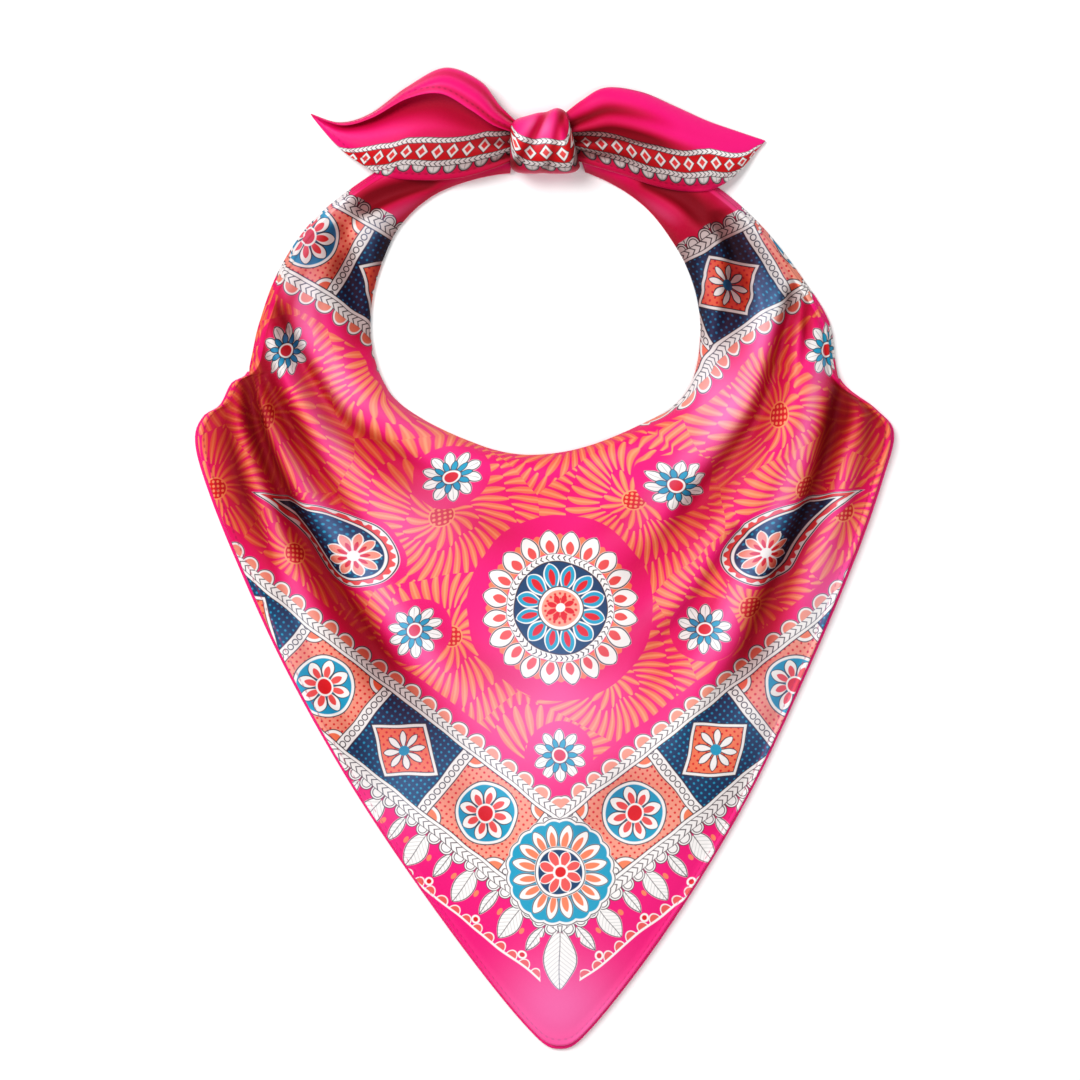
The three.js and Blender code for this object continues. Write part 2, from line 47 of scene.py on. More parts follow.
# the ring of cloth, in mm: from the knot's left side round the long corner to its right side
# neck degrees, neck reach, outer edge x, outer edge y, crest, rise from the neck, ease to the outer edge
ringSections = [
    (104, 60.4, -11.5, 181.5, 6.6, 3, 3),
    (113, 62.2, -34, 178.5, 7.2, 5, 4),
    (122, 64.5, -55, 171, 7.6, 7, 4),
    (135, 68.4, -75, 160.3, 8.6, 9, 4),
    (149, 71, -97.4, 142.4, 11, 12, 5),
    (163, 71.7, -111.6, 121.5, 12.5, 13, 5),
    (177, 73, -120, 99, 13, 11, 6),
    (190, 74, -124.9, 79, 13.5, 9, 7),
    (194, 74.2, -131.6, 74.2, 13.5, 9, 8),
    (199, 74.2, -136.6, 64.8, 13.5, 8, 8),
    (204, 73.8, -143.6, 60, 13.5, 7, 10),
    (208, 73.3, -147, 50.5, 13.5, 7, 10),
    (213, 71.6, -142.9, 33, 13.5, 6, 14),
    (221, 68.2, -130, 0, 13, 5, 20),
    (230, 65, -108.2, -47.5, 12, 5, 28),
    (240, 62.6, -78, -100.5, 11, 4, 36),
    (251, 61.4, -41, -154.5, 10, 4, 44),
    (262, 60.4, -8, -196.3, 9.5, 4, 50),
    (270, 59.6, 6.7, -206.3, 9.5, 4, 52),
    (278, 59.1, 21.2, -196.3, 9.5, 4, 50),
    (289, 59, 53, -154.5, 10, 4, 44),
    (300, 59.8, 85, -102, 11, 4, 36),
    (310, 61.8, 110.9, -47.5, 12, 5, 28),
    (319, 64.9, 131, 0, 13, 5, 20),
    (327, 67.6, 142.6, 33, 13.5, 6, 14),
    (334, 68.3, 147.4, 53, 13.5, 7, 10),
    (341, 67.5, 139.8, 63.2, 13.5, 8, 8),
    (350, 66.2, 124.6, 76.2, 13.5, 9, 8),
    (363, 64.5, 120, 99.8, 13, 11, 8),
    (377, 62.7, 107.6, 119.8, 12.5, 13, 8),
    (391, 61.3, 91.2, 140.6, 11, 12, 7),
    (405, 61.2, 71.5, 157.6, 8.6, 9, 4),
    (416, 61, 50, 168, 7.6, 7, 4),
    (425, 61, 32, 176.5, 7.2, 5, 4),
    (434, 61.4, 11.5, 181.5, 6.6, 3, 3),
]
ring = {
    "neckX": 0.4,
    "neckY": 103.7,
    "leftNotch": 7,
    "rightNotch": 27,
    "columns": 430,
    "rows": 66,
    "cloth": 0.32,  # thickness
    "lowest": 0.33,  # no part of the front cloth is lower
    "drapeBase": 3.0,  # top of the front ply where it lies flat on the under ply
    "bandBase": 1.5,
    "foldStart": 0.4,  # the open cloth starts this far from the neck edge
    "drapeEnd": 2.8,  # and ends this far from the outer edge
    "bandEnd": 4.9,
    "hemInset": 1.4,  # the front hem lies this far inside the under ply's hem
    "hemRadius": 0.85,
    "steepShade": 0.4,
    "innerShade": 0.4,
}

# main folds: places along each, share of the height lost, half width at its start and end,
# depth of painted shade, where along it the end begins
mainFolds = [
    ([(-119, 119), (-114, 105), (-100, 79), (-84, 56), (-60, 40), (-39, 29), (-8, 21)],
     0.55, 4.5, 8.5, 0.55, 0.5),
    ([(-128, 97), (-121, 87), (-114, 69), (-102, 48), (-88, 25), (-71, 4), (-46, -21)],
     0.64, 7.8, 6.2, 0.62, 0.4),
    ([(-131, 90), (-125, 76), (-120, 54), (-109, 26), (-93, -4), (-75, -33), (-57, -59), (-22, -94)],
     0.84, 3.0, 8.8, 0.84, 0.74),
    ([(-144, 78), (-138, 65), (-133, 46), (-126, 25), (-118, 4), (-110, -18), (-97, -52)],
     0.5, 8.5, 3.4, 0.6, 0.45),
    ([(109, 122), (104, 108), (98, 84), (90, 60), (77, 41), (65, 25), (51, 5), (22, -19)],
     0.58, 3.4, 8.4, 0.55, 0.72),
    ([(112, 120), (111, 106), (110, 92), (107, 70)],
     0.35, 3.0, 2.4, 0.5, 0.4),
    ([(84, 14), (78, 3), (65, -17), (44, -42), (30, -57)],
     0.4, 5, 6.5, 0.26, 0.5),
    ([(130, 86), (125, 73), (121, 54), (113, 25), (103, 2), (94, -19), (86, -40), (75, -57), (50, -100)],
     0.86, 5.2, 7.6, 0.84, 0.72),
    ([(140, 68), (137, 44), (128, 14), (114, -14)],
     0.4, 6, 4, 0.3, 0.4),
    ([(-42, 160), (-60, 155), (-72, 150), (-82, 144), (-93, 134)],
     0.6, 4.2, 5.6, 1.0, 0.5),
    ([(-89, 142), (-83, 124), (-77, 98), (-70, 74)],
     0.45, 6, 6, 0.5, 0.6),
    ([(40, 160), (60, 150), (72, 137)],
     0.45, 4.5, 6, 0.8, 0.5),
    ([(72, 148), (80, 128), (77, 100), (66, 71)],
     0.55, 6, 7, 0.6, 0.6),
]
# smaller creases: start, middle, end, depth in mm (less than 0 is a ridge), half width
smallCreases = [
    (-121, 104, -98, 62, -55, 16, -1.2, 5),
    (-125, 84, -103, 34, -68, -22, -1.2, 4.5),
    (-130, 64, -114, 18, -90, -34, -1.1, 5),
    (-96, 66, -76, 34, -30, 8, 0.6, 4),
    (-118, -4, -94, -54, -60, -110, 0.9, 3),
    (-70, 44, -44, 22, 2, 6, 0.5, 5),
    (-58, -14, -30, -44, 8, -58, 0.8, 8),
    (-46, -88, -22, -116, 10, -130, 0.9, 10),
    (116, 90, 100, 42, 80, 6, -1.4, 7),
    (132, 66, 119, 14, 94, -46, -1.3, 5),
    (112, 70, 97, 30, 72, -6, 0.7, 4),
    (124, 34, 112, -4, 88, -52, 0.7, 3.4),
    (60, 42, 40, 20, 8, 8, 0.6, 5),
    (112, -30, 86, -80, 52, -132, 0.7, 6),
    (52, -20, 30, -40, 6, -52, 0.7, 7),
    (40, -84, 24, -108, 8, -122, 0.8, 9),
    (-92, 138, -106, 112, -112, 84, 0.9, 3),
    (-76, 144, -96, 110, -92, 78, -0.8, 3),
    (-64, 138, -72, 110, -64, 84, 0.7, 2.4),
    (84, 140, 102, 112, 116, 84, 0.9, 3),
    (60, 142, 90, 112, 90, 80, -0.8, 3),
    (56, 134, 66, 108, 60, 84, 0.7, 2.4),
    (-30, 34, -2, 28, 30, 34, 0.6, 5),
    (-22, -96, 6, -150, 8, -186, -0.9, 14),
    (-128, 100, -117, 74, -98, 40, 0.6, 2.6),
    (-136, 62, -127, 28, -112, -8, 0.6, 2.4),
    (-112, 66, -92, 32, -64, 0, 0.5, 2.8),
    (-84, -8, -66, -40, -30, -70, 0.6, 4),
    (-110, -34, -92, -70, -68, -100, 0.6, 3),
    (126, 96, 118, 72, 112, 44, 0.6, 2.6),
    (106, 88, 94, 50, 72, 14, 0.5, 3),
    (134, 40, 124, 4, 108, -30, 0.6, 2.6),
    (74, -10, 56, -40, 30, -70, 0.6, 4),
    (104, -50, 84, -92, 60, -122, 0.6, 3.4),
]


def smooth(low, high, value):
    t = np.clip((value - low) / (high - low), 0, 1)
    return t * t * (3 - 2 * t)


def hump(value, middle, width):
    # 1 at the middle, falling away softly on both sides
    return np.exp(-(((value - middle) / width) ** 2))


def readTable(rows, place):
    # every column of a table at any place between its rows, as a smooth curve through them
    rows = np.asarray(rows, float)
    last = len(rows) - 1
    i = np.clip(np.floor(place).astype(int), 0, last - 1)
    t = (place - i)[..., None]
    a, b, c, d = (rows[np.clip(i + k, 0, last)] for k in (-1, 0, 1, 2))
    inward, outward = (c - a) / 2, (d - b) / 2
    bend = (t**3 - 2 * t**2 + t) * inward + (t**3 - t**2) * outward
    return (2 * t**3 - 3 * t**2 + 1) * b + (3 * t**2 - 2 * t**3) * c + bend


def alongLine(points, x, y, steps=26):
    # distance from a smooth line in plan, how far along it the nearest point lies,
    # and which side: above 0 on the side of the neck
    line = readTable(points, np.linspace(0, len(points) - 1, steps + 1))
    nearest = np.full(np.shape(x), 1e9)
    along = np.zeros(np.shape(x))
    side = np.zeros(np.shape(x))
    inward = -np.sign(line[0, 0])
    for k in range(steps):
        (ax, ay), (bx, by) = line[k], line[k + 1]
        dx, dy = bx - ax, by - ay
        f = np.clip(((x - ax) * dx + (y - ay) * dy) / (dx * dx + dy * dy), 0, 1)
        away = np.hypot(x - ax - f * dx, y - ay - f * dy)
        closer = away < nearest
        nearest = np.where(closer, away, nearest)
        along = np.where(closer, (k + f) / steps, along)
        cross = (dx * (y - ay) - dy * (x - ax)) / np.hypot(dx, dy)
        side = np.where(closer, inward * cross, side)
    return nearest, along, side


def meshFrom(name, bm):
    mesh = bpy.data.meshes.new(name)
    bm.to_mesh(mesh)
    bm.free()
    return mesh


def sheetFrom(name, points, maps, thickness, turnOver=False, closedRound=False, paintedShade=None, crest=None):
    # points is a grid of places in mm; maps holds a grid of (u, v) in metres for each UV map
    across, length = points.shape[:2]
    bm = bmesh.new()
    bmesh.ops.create_grid(bm, x_segments=across - 1, y_segments=length - 1, size=1)
    bm.verts.ensure_lookup_table()
    flat = np.array([v.co[:2] for v in bm.verts])
    i = np.rint((flat[:, 0] + 1) / 2 * (across - 1)).astype(int)
    j = np.rint((flat[:, 1] + 1) / 2 * (length - 1)).astype(int)
    placed = (points[i, j] + (shiftX, shiftY, 0)) * mm
    for v, co in zip(bm.verts, placed):
        v.co = co
    if turnOver:
        bmesh.ops.reverse_faces(bm, faces=bm.faces)
    mesh = meshFrom(name, bm)
    # painted shade and painted highlight for the silk's colour, one value at each point
    for label, values in (("paintedShade", paintedShade), ("crest", crest)):
        layer = mesh.attributes.new(label, "FLOAT", "POINT")
        if values is not None:
            layer.data.foreach_set("value", values[i, j].astype(np.float32))
    corner = np.empty(len(mesh.loops), int)
    mesh.loops.foreach_get("vertex_index", corner)
    for mapName, grid in maps.items():
        layer = mesh.uv_layers.new(name=mapName)
        layer.data.foreach_set("uv", grid[i, j][corner].astype(np.float32).ravel())
    if closedRound:
        bm = bmesh.new()
        bm.from_mesh(mesh)
        bmesh.ops.remove_doubles(bm, verts=bm.verts, dist=1e-6)
        bm.to_mesh(mesh)
        bm.free()
    mesh.polygons.foreach_set("use_smooth", [True] * len(mesh.polygons))
    piece = bpy.data.objects.new(name, mesh)
    bpy.context.collection.objects.link(piece)
    wall = piece.modifiers.new("cloth", "SOLIDIFY")
    wall.thickness = thickness * mm
    wall.offset = -1
    return piece


def arcAlong(points, axis):
    # length of cloth from the first point of each row or column
    step = np.linalg.norm(np.diff(points, axis=axis), axis=2)
    lead = np.zeros_like(np.take(step, [0], axis=axis))
    return np.concatenate([lead, np.cumsum(step, axis=axis)], axis=axis)


def lineLengths(points):
    return np.concatenate([[0], np.cumsum(np.linalg.norm(np.diff(points, axis=0), axis=1))])


# front cloth: both bands and the upper ply of the drape, in one length of cloth
def ringEdges(place):
    row = readTable(ringSections, place)
    turn = np.radians(row[..., 0])
    innerX = ring["neckX"] + row[..., 1] * np.cos(turn)
    innerY = ring["neckY"] + row[..., 1] * np.sin(turn)
    return np.stack([innerX, innerY], -1), row[..., 2:4], row[..., 4], row[..., 5], row[..., 6]


def evenPlaces(low, high, count):
    # places in the ring whose outer edge points are the same distance apart
    fine = np.linspace(low, high, 4000)
    far = lineLengths(ringEdges(fine)[1])
    return np.interp(np.linspace(0, far[-1], count), far, fine)


def drapeShare(place, before, after):
    # 1 on the drape, 0 on the bands; the change starts so far before each notch and ends so far after it
    opening = smooth(ring["leftNotch"] - before, ring["leftNotch"] + after, place)
    return opening * (1 - smooth(ring["rightNotch"] - after, ring["rightNotch"] + before, place))


roll = {
    "lean": 0.28,
    "shoulder": 0.16,
    # the strength of the painted highlight beside each fold, and of the painted shade in small creases
    "paintedCrestHighlight": 0.72,
    "creaseShade": 0.2,
    "broadSwell": 0.55,  # mm
    "smallSwell": 0.28,
}


def rollHeight(fromNeck, width, crest, rise, ease, x, y):
    # three grids: height of the cloth over its base, painted shade for how deep in a hollow each point
    # lies, 0 to 1, and painted highlight for how near it is to the crest beside a fold
    climb = (1 - np.exp(-fromNeck / rise)) ** 0.8
    fall = 1 - np.exp(-np.maximum(width - fromNeck, 0) / ease)
    share = np.ones_like(x)
    paintedShade = np.zeros_like(x)
    paintedCrestHighlight = np.zeros_like(x)
    for points, lost, startWidth, endWidth, tone, fade in mainFolds:
        away, along, side = alongLine(points, x, y)
        halfWidth = startWidth + (endWidth - startWidth) * smooth(0, 0.9, along)
        # steeper on the side of the neck, where the next fold leans over it
        near = (away / (halfWidth * (1 - roll["lean"] * np.tanh(side / 3)))) ** 2
        ending = (1 - smooth(fade, 1, along)) * (0.3 + 0.7 * smooth(0, 0.12, along))
        share *= 1 - lost * ending * np.exp(-near) * (1 - roll["shoulder"] * near)
        # painted shade in the hollow of each fold, and painted highlight on the crest beside it
        paintedShade += tone * ending * np.exp(-0.95 * near)
        paintedCrestHighlight += roll["paintedCrestHighlight"] * tone * ending * hump(side, 2 * halfWidth, 0.6 * halfWidth)
    height = crest * climb * fall * share
    soft = np.clip(climb * fall * 1.6, 0, 1)
    for row in smallCreases:
        depth, halfWidth = row[6:]
        away, along = alongLine(np.reshape(row[:6], (3, 2)), x, y, 16)[:2]
        near = (away / halfWidth) ** 2
        ends = smooth(0, 0.25, along) * (1 - smooth(0.6, 1, along))
        height -= soft * depth * ends * np.exp(-near) * (1 - 0.5 * near)
        # painted shade in each small crease, less of it along a ridge
        paintedShade += roll["creaseShade"] * depth * ends * np.exp(-near)
    # slow swells, so that no stretch is quite level
    broad = np.sin(x / 17 + 1.3 * np.sin(y / 29)) * np.sin(y / 21 + 0.8 * np.sin(x / 23))
    small = np.sin(x / 7.1 + y / 11.3 + 1.7 * np.sin((x - y) / 31))
    height += soft * (roll["broadSwell"] * broad + roll["smallSwell"] * small)
    return np.maximum(height, 0), np.clip(paintedShade, 0, 1.1), paintedCrestHighlight


# painted highlights, where the satin is painted palest: x, y, half widths across and up, amount
paintedHighlightSpots = [
    (6, -188, 26, 22, 0.72),
    (0, -66, 34, 30, 0.7),
    (-52, 18, 22, 16, 0.5),
    (88, 118, 9, 26, 0.8),
    (74, 66, 12, 22, 0.7),
    (-100, 120, 7, 30, 0.7),
    (-88, 64, 8, 22, 0.5),
    (118, -10, 12, 26, 0.55),
    (96, -60, 14, 26, 0.45),
    (-60, -92, 18, 22, 0.35),
    (-104, -30, 8, 24, 0.35),
    (-88, 149, 9, 6, 0.6),
    (82, 153, 8, 6, 0.6),
]
# and painted shade where it lies in broad shade
paintedShadeSpots = [
    (-118, 40, 20, 44, 0.2),
    (-92, 2, 16, 34, 0.1),
    (-66, -76, 24, 18, 0.2),
    (128, 58, 18, 20, 0.22),
    (98, 12, 14, 40, 0.08),
    (46, -94, 30, 12, 0.12),
    (-22, 12, 26, 13, 0.18),
    (36, -2, 12, 18, 0.18),
    (-70, 152, 18, 8, 0.25),
    (52, 158, 20, 8, 0.25),
    (66, 138, 15, 14, 0.6),
    (84, 120, 13, 16, 0.4),
    (-64, 130, 10, 14, 0.4),
    (-92, 124, 15, 14, 0.42),
    (-106, 104, 12, 12, 0.3),
    (-122, 68, 12, 16, 0.16),
    (136, 62, 14, 18, 0.22),
    (-132, 18, 9, 26, 0.16),
]
# edge profiles, as (inset from the edge, height)
neckFold = {
    "drape": [(4, 1.5), (2.4, 1.4), (1.2, 1.45), (0.45, 1.8), (0.08, 2.4), (0, 3.0), (0.12, 3.5)],
    "band": [(4, 0.33), (2.4, 0.33), (1.2, 0.42), (0.45, 0.62), (0.08, 0.95), (0, 1.3), (0.12, 1.65)],
}
bandFold = [
    (4.4, 6.3), (3.2, 6.0), (2.3, 5.3), (2.2, 4.6), (2.9, 4.1), (1.9, 3.9), (1.1, 3.4),
    (1.0, 2.8), (1.9, 2.3), (0.7, 2.1), (0.0, 1.5), (0.15, 0.8), (1.2, 0.36), (4.0, 0.33),
]


def addSpots(tone, grid, spots):
    for x, y, across, up, amount in spots:
        tone += amount * hump(grid[..., 0], x, across) * hump(grid[..., 1], y, up)


def frontCloth():
    places = evenPlaces(0, len(ringSections) - 1, ring["columns"])
    inner, outer, crest, rise, ease = ringEdges(places)
    band = 1 - drapeShare(places, 0.25, 0.35)
    width = np.linalg.norm(outer - inner, axis=1)
    toEdge = (outer - inner) / width[:, None]
    width = width - ring["hemInset"] * (1 - band)
    base = ring["bandBase"] + (ring["drapeBase"] - ring["bandBase"]) * drapeShare(places, 1.6, 1.4)

    # rows of the neck fold
    insets, heights = [], []
    for k, ((dIn, dUp), (bIn, bUp)) in enumerate(zip(neckFold["drape"], neckFold["band"])):
        under = 0.46 * width if k == 0 else bIn
        insets.append(dIn + (under - dIn) * band)
        heights.append(dUp + (bUp - dUp) * band)
    # rows of the open cloth, closer together towards the neck
    foldEnd = ring["drapeEnd"] + (ring["bandEnd"] - ring["drapeEnd"]) * band
    for j in range(ring["rows"]):
        t = j / (ring["rows"] - 1)
        wide = width - foldEnd - ring["foldStart"]
        insets.append(ring["foldStart"] + wide * t ** (1.25 - 0.15 * band))
    openRows = range(len(heights), len(insets))
    grid = np.zeros((len(places), len(insets) + len(bandFold), 3))
    for j, inset in enumerate(insets):
        grid[:, j, :2] = inner + toEdge * inset[:, None]
    grid[:, : len(heights), 2] = np.stack(heights, 1)
    x, y = grid[:, openRows, 0], grid[:, openRows, 1]
    fromNeck = np.stack([insets[j] for j in openRows], 1)
    wide = [v[:, None] for v in (width, crest, rise, ease)]
    lowHem = 0.4 * (1 - band[:, None]) * smooth(0.55, 1, fromNeck / wide[0])
    height, shade, paintedCrestHighlight = rollHeight(fromNeck, *wide, x, y)
    grid[:, openRows, 2] = base[:, None] - lowHem + height
    paintedShade = np.zeros(grid.shape[:2])
    paintedShade[:, openRows] = shade + ring["innerShade"] * band[:, None] * np.exp(-fromNeck / 6)
    # the fold's last points lead into the open cloth
    lift = grid[:, openRows[0], 2] / np.where(band > 0.5, 1.9, 4.0)
    grid[:, 4:7, 2] *= np.clip(lift, 0.6, 1.2)[:, None]

    # outer edge: a rolled hem on the drape, stacked folds on the bands
    edgeTop = grid[:, openRows[-1], 2]
    foldTop = bandFold[0][1]
    stack = np.clip((edgeTop - ring["lowest"]) / (foldTop - ring["lowest"]), 0.2, 1.05)
    radius = ring["hemRadius"]
    last = len(bandFold) - 1
    for k, (bIn, bUp) in enumerate(bandFold):
        turn = math.radians(130 - k * 290 / last)
        hemIn = radius + 0.1 - (radius + 0.05) * math.cos(turn)
        hemUp = edgeTop - 0.3 + radius * (math.sin(turn) - 0.1)
        bandIn = 0.5 * width if k == last else bIn
        bandUp = ring["lowest"] + (bUp - ring["lowest"]) * stack
        j = len(insets) + k
        grid[:, j, :2] = inner + toEdge * (width - hemIn - (bandIn - hemIn) * band)[:, None]
        grid[:, j, 2] = hemUp + (bandUp - hemUp) * band
    grid[:, :, 2] = np.maximum(grid[:, :, 2], ring["lowest"])

    eased = 0.3 + 0.7 * drapeShare(places, 4, 4)
    maps = {
        "cloth": clothMap(grid, toEdge, len(insets) - 1, eased),
        "hem": hemMap(grid, outer, width, inner, band * noStitches),
    }
    # painted shade: fold hollows, steep cloth off the drape's hem and broad shaded spots; painted
    # highlight: crests and pale spots, less of it in the shade
    steep = steepShade(grid)
    steep[:, len(insets) :] *= band[:, None]
    shade = paintedShade + steep
    addSpots(shade, grid, paintedShadeSpots)
    shade = np.clip(shade, 0, 1)
    paintedHighlight = np.zeros(grid.shape[:2])
    paintedHighlight[:, openRows] = paintedCrestHighlight
    addSpots(paintedHighlight, grid, paintedHighlightSpots)
    paintedHighlight = np.clip(paintedHighlight * (1 - 1.6 * shade), 0, 1)
    return sheetFrom("frontCloth", grid, maps, ring["cloth"], turnOver=True, paintedShade=shade, crest=paintedHighlight)


def clothMap(grid, toEdge, edgeRow, eased):
    # where a point would lie if each line of cloth were pulled flat from its row at the outer edge;
    # less than 1 in "eased" lets the silk give on the slopes, so that the print stays even
    level = arcAlong(grid * (1, 1, 0), 1)
    arc = level + (arcAlong(grid, 1) - level) * eased[:, None]
    fromEdge = arc[:, edgeRow : edgeRow + 1] - arc
    return (grid[:, edgeRow : edgeRow + 1, :2] - toEdge[:, None, :] * fromEdge[..., None]) * mm


def hemMap(grid, outer, width, inner, further):
    # along the outer edge, and in from it; no stitches where further is large
    inward = width[:, None] - np.linalg.norm(grid[..., :2] - inner[:, None, :], axis=2)
    return np.stack([lineLengths(outer)[:, None] + 0 * inward, inward + further[:, None]], -1) * mm


def steepShade(grid):
    # steep cloth sees less of the room
    facing = np.cross(np.gradient(grid, axis=0), np.gradient(grid, axis=1))
    level = np.abs(facing[..., 2]) / np.maximum(np.linalg.norm(facing, axis=2), 1e-9)
    return ring["steepShade"] * np.clip(1 - level, 0, 1)


underSheet = {
    "columns": 330,
    "rows": 31,
    "neckInset": 1.6,
    "hemStart": 2.4,
    "height": 0.62,
    "hemSteps": 12,
    "hemMiddle": (1.0, 1.02),  # in from the edge, and up
    "hemRadii": (0.98, 0.95),
    "cloth": 0.3,
}


def underPly():
    places = evenPlaces(ring["leftNotch"] + 0.02, ring["rightNotch"] - 0.02, underSheet["columns"])
    inner, outer, *_ = ringEdges(places)
    width = np.linalg.norm(outer - inner, axis=1)
    toEdge = (outer - inner) / width[:, None]
    rows = underSheet["rows"]
    start = underSheet["neckInset"]
    profile = []
    for j in range(rows):
        inset = start + (width - underSheet["hemStart"] - start) * j / (rows - 1)
        profile.append((inset, underSheet["height"]))
    (middleIn, middleUp), (across, up) = underSheet["hemMiddle"], underSheet["hemRadii"]
    for k in range(underSheet["hemSteps"] + 1):
        turn = math.radians(125 - k * 280 / underSheet["hemSteps"])
        profile.append((width - (middleIn - across * math.cos(turn)), middleUp + up * math.sin(turn)))
    grid = np.zeros((len(places), len(profile), 3))
    for j, (inset, height) in enumerate(profile):
        grid[:, j, :2] = inner + toEdge * inset[:, None]
        grid[:, j, 2] = height
    maps = {
        "cloth": clothMap(grid, toEdge, rows, np.ones_like(width)),
        "hem": hemMap(grid, outer, width, inner, np.zeros_like(width)),
    }
    return sheetFrom("underPly", grid, maps, underSheet["cloth"], turnOver=True)


front = frontCloth()
under = underPly()
print("ring of cloth made")
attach(front, "root")
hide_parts("front_drape", "band_left", "band_right")
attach(under, "root")
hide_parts("under_ply")

# tails
# left tail, from the knot out: lower edge, top edge, edge of the part that curls forward over the rest,
# and the arch of the middle
leftTail = {
    "rows": [
        (-10.0, 168.8, 9.2, -10.0, 182.0, 10.4, -10.0, 178.0, 13.0, 2.2),
        (-22.0, 163.9, 9.0, -18.6, 190.4, 9.6, -21.0, 181.6, 15.0, 3.6),
        (-36.0, 160.1, 8.0, -26.8, 200.6, 8.4, -31.0, 188.2, 15.6, 5.0),
        (-52.0, 159.3, 7.6, -41.5, 206.3, 7.0, -43.5, 195.0, 14.4, 5.6),
        (-67.0, 161.0, 7.2, -57.5, 198.4, 5.6, -57.5, 193.0, 11.6, 5.2),
        (-79.5, 168.0, 5.4, -73.0, 187.2, 4.0, -72.4, 185.2, 8.0, 3.6),
        (-88.0, 175.0, 3.6, -86.0, 183.5, 2.6, -85.0, 182.3, 4.6, 1.8),
        (-97.4, 185.9, 1.0, -98.2, 187.2, 1.0, -97.7, 186.6, 1.7, 0.1),
    ],
    "bodyRows": 44,
    "curlRows": 26,
    "slip": (0.5, 62),  # share along where the print starts to run out over the hem, and how far
}
# right tail: lower edge, top edge, arch of the middle
rightTail = {
    "rows": [
        (10.0, 168.6, 9.2, 6.0, 184.6, 10.4, 2.4),
        (22.5, 164.6, 9.0, 15.8, 192.6, 9.0, 4.0),
        (33.0, 161.5, 8.2, 26.0, 198.1, 7.6, 5.4),
        (46.0, 157.1, 8.0, 41.0, 196.3, 6.2, 6.2),
        (58.5, 154.7, 8.2, 55.4, 190.3, 5.0, 5.8),
        (70.0, 155.3, 7.2, 68.8, 184.3, 4.0, 4.4),
        (80.4, 161.4, 4.4, 81.0, 180.0, 2.8, 2.4),
        (90.2, 172.9, 1.6, 93.0, 175.9, 1.6, 0.2),
    ],
    "bodyRows": 50,
    "backRows": 16,
    "slip": (0.72, 60),
    # long soft troughs that leave the knot: place across, drift, depth, half width, how far they run
    "troughs": [(0.44, 0.10, 2.2, 0.075, 0.8), (0.72, 0.04, 1.7, 0.07, 0.6), (0.2, -0.02, 1.1, 0.06, 0.5)],
}
tailSheet = {
    "columns": 96,
    "cloth": 0.3,
    "clearance": 0.5,  # over the bands
    # the hem rolled under along the lower edge: inset and drop
    "hem": [(1.8, 1.15), (1.2, 1.35), (0.5, 1.3), (0.0, 1.0), (-0.2, 0.55)],
}


def heightUnder(tree, x, y):
    hit = tree.ray_cast(Vector(((x + shiftX) * mm, (y + shiftY) * mm, 0.1)), Vector((0, 0, -1)))
    return hit[0].z / mm if hit[0] else 0.0


def treeOf(piece):
    bm = bmesh.new()
    bm.from_mesh(piece.data)
    tree = BVHTree.FromBMesh(bm)
    bm.free()
    return tree


def restOn(tree, grid, clearance):
    for i, j in np.ndindex(grid.shape[:2]):
        x, y, z = grid[i, j]
        grid[i, j, 2] = max(z, heightUnder(tree, x, y) + clearance)


def between(a, b, t):
    # the lines from each point of one edge to the other edge
    return a[:, None, :] * (1 - t[..., None]) + b[:, None, :] * t[..., None]


def gatherLines(along, across, count):
    return np.cos(2 * math.pi * count * across + 0.6 * np.sin(3 * along))


def gathers(along, across, rise, count, length):
    lines = gatherLines(along, across, count)
    return rise * np.exp(-along / length) * np.sign(lines) * np.abs(lines) ** 0.8


def gatherShade(along, across, count, length):
    # painted shade in the hollows between the gathers
    return np.exp(-along / length) * np.maximum(-gatherLines(along, across, count), 0)


def outFrom(low, top):
    # direction in plan from the top edge to the lower one
    out = (low - top)[:, None, :2]
    return out / np.maximum(np.linalg.norm(out, axis=2, keepdims=True), 1e-6)


def lowRoll(body, out):
    edge = body[:, :1, :]
    rows = []
    for inset, drop in tailSheet["hem"]:
        point = edge.copy()
        point[..., :2] -= out * inset
        point[..., 2] = np.maximum(edge[..., 2] - drop, 0.35)
        rows.append(point)
    return np.concatenate(rows, axis=1)


def tailEdges(tail):
    # places along the tail, with its rows there
    along = np.linspace(0, 1, tailSheet["columns"]) ** 1.05
    row = readTable(tail["rows"], along * (len(tail["rows"]) - 1))
    return along[:, None], np.linspace(0, 1, tail["bodyRows"])[None, :], row


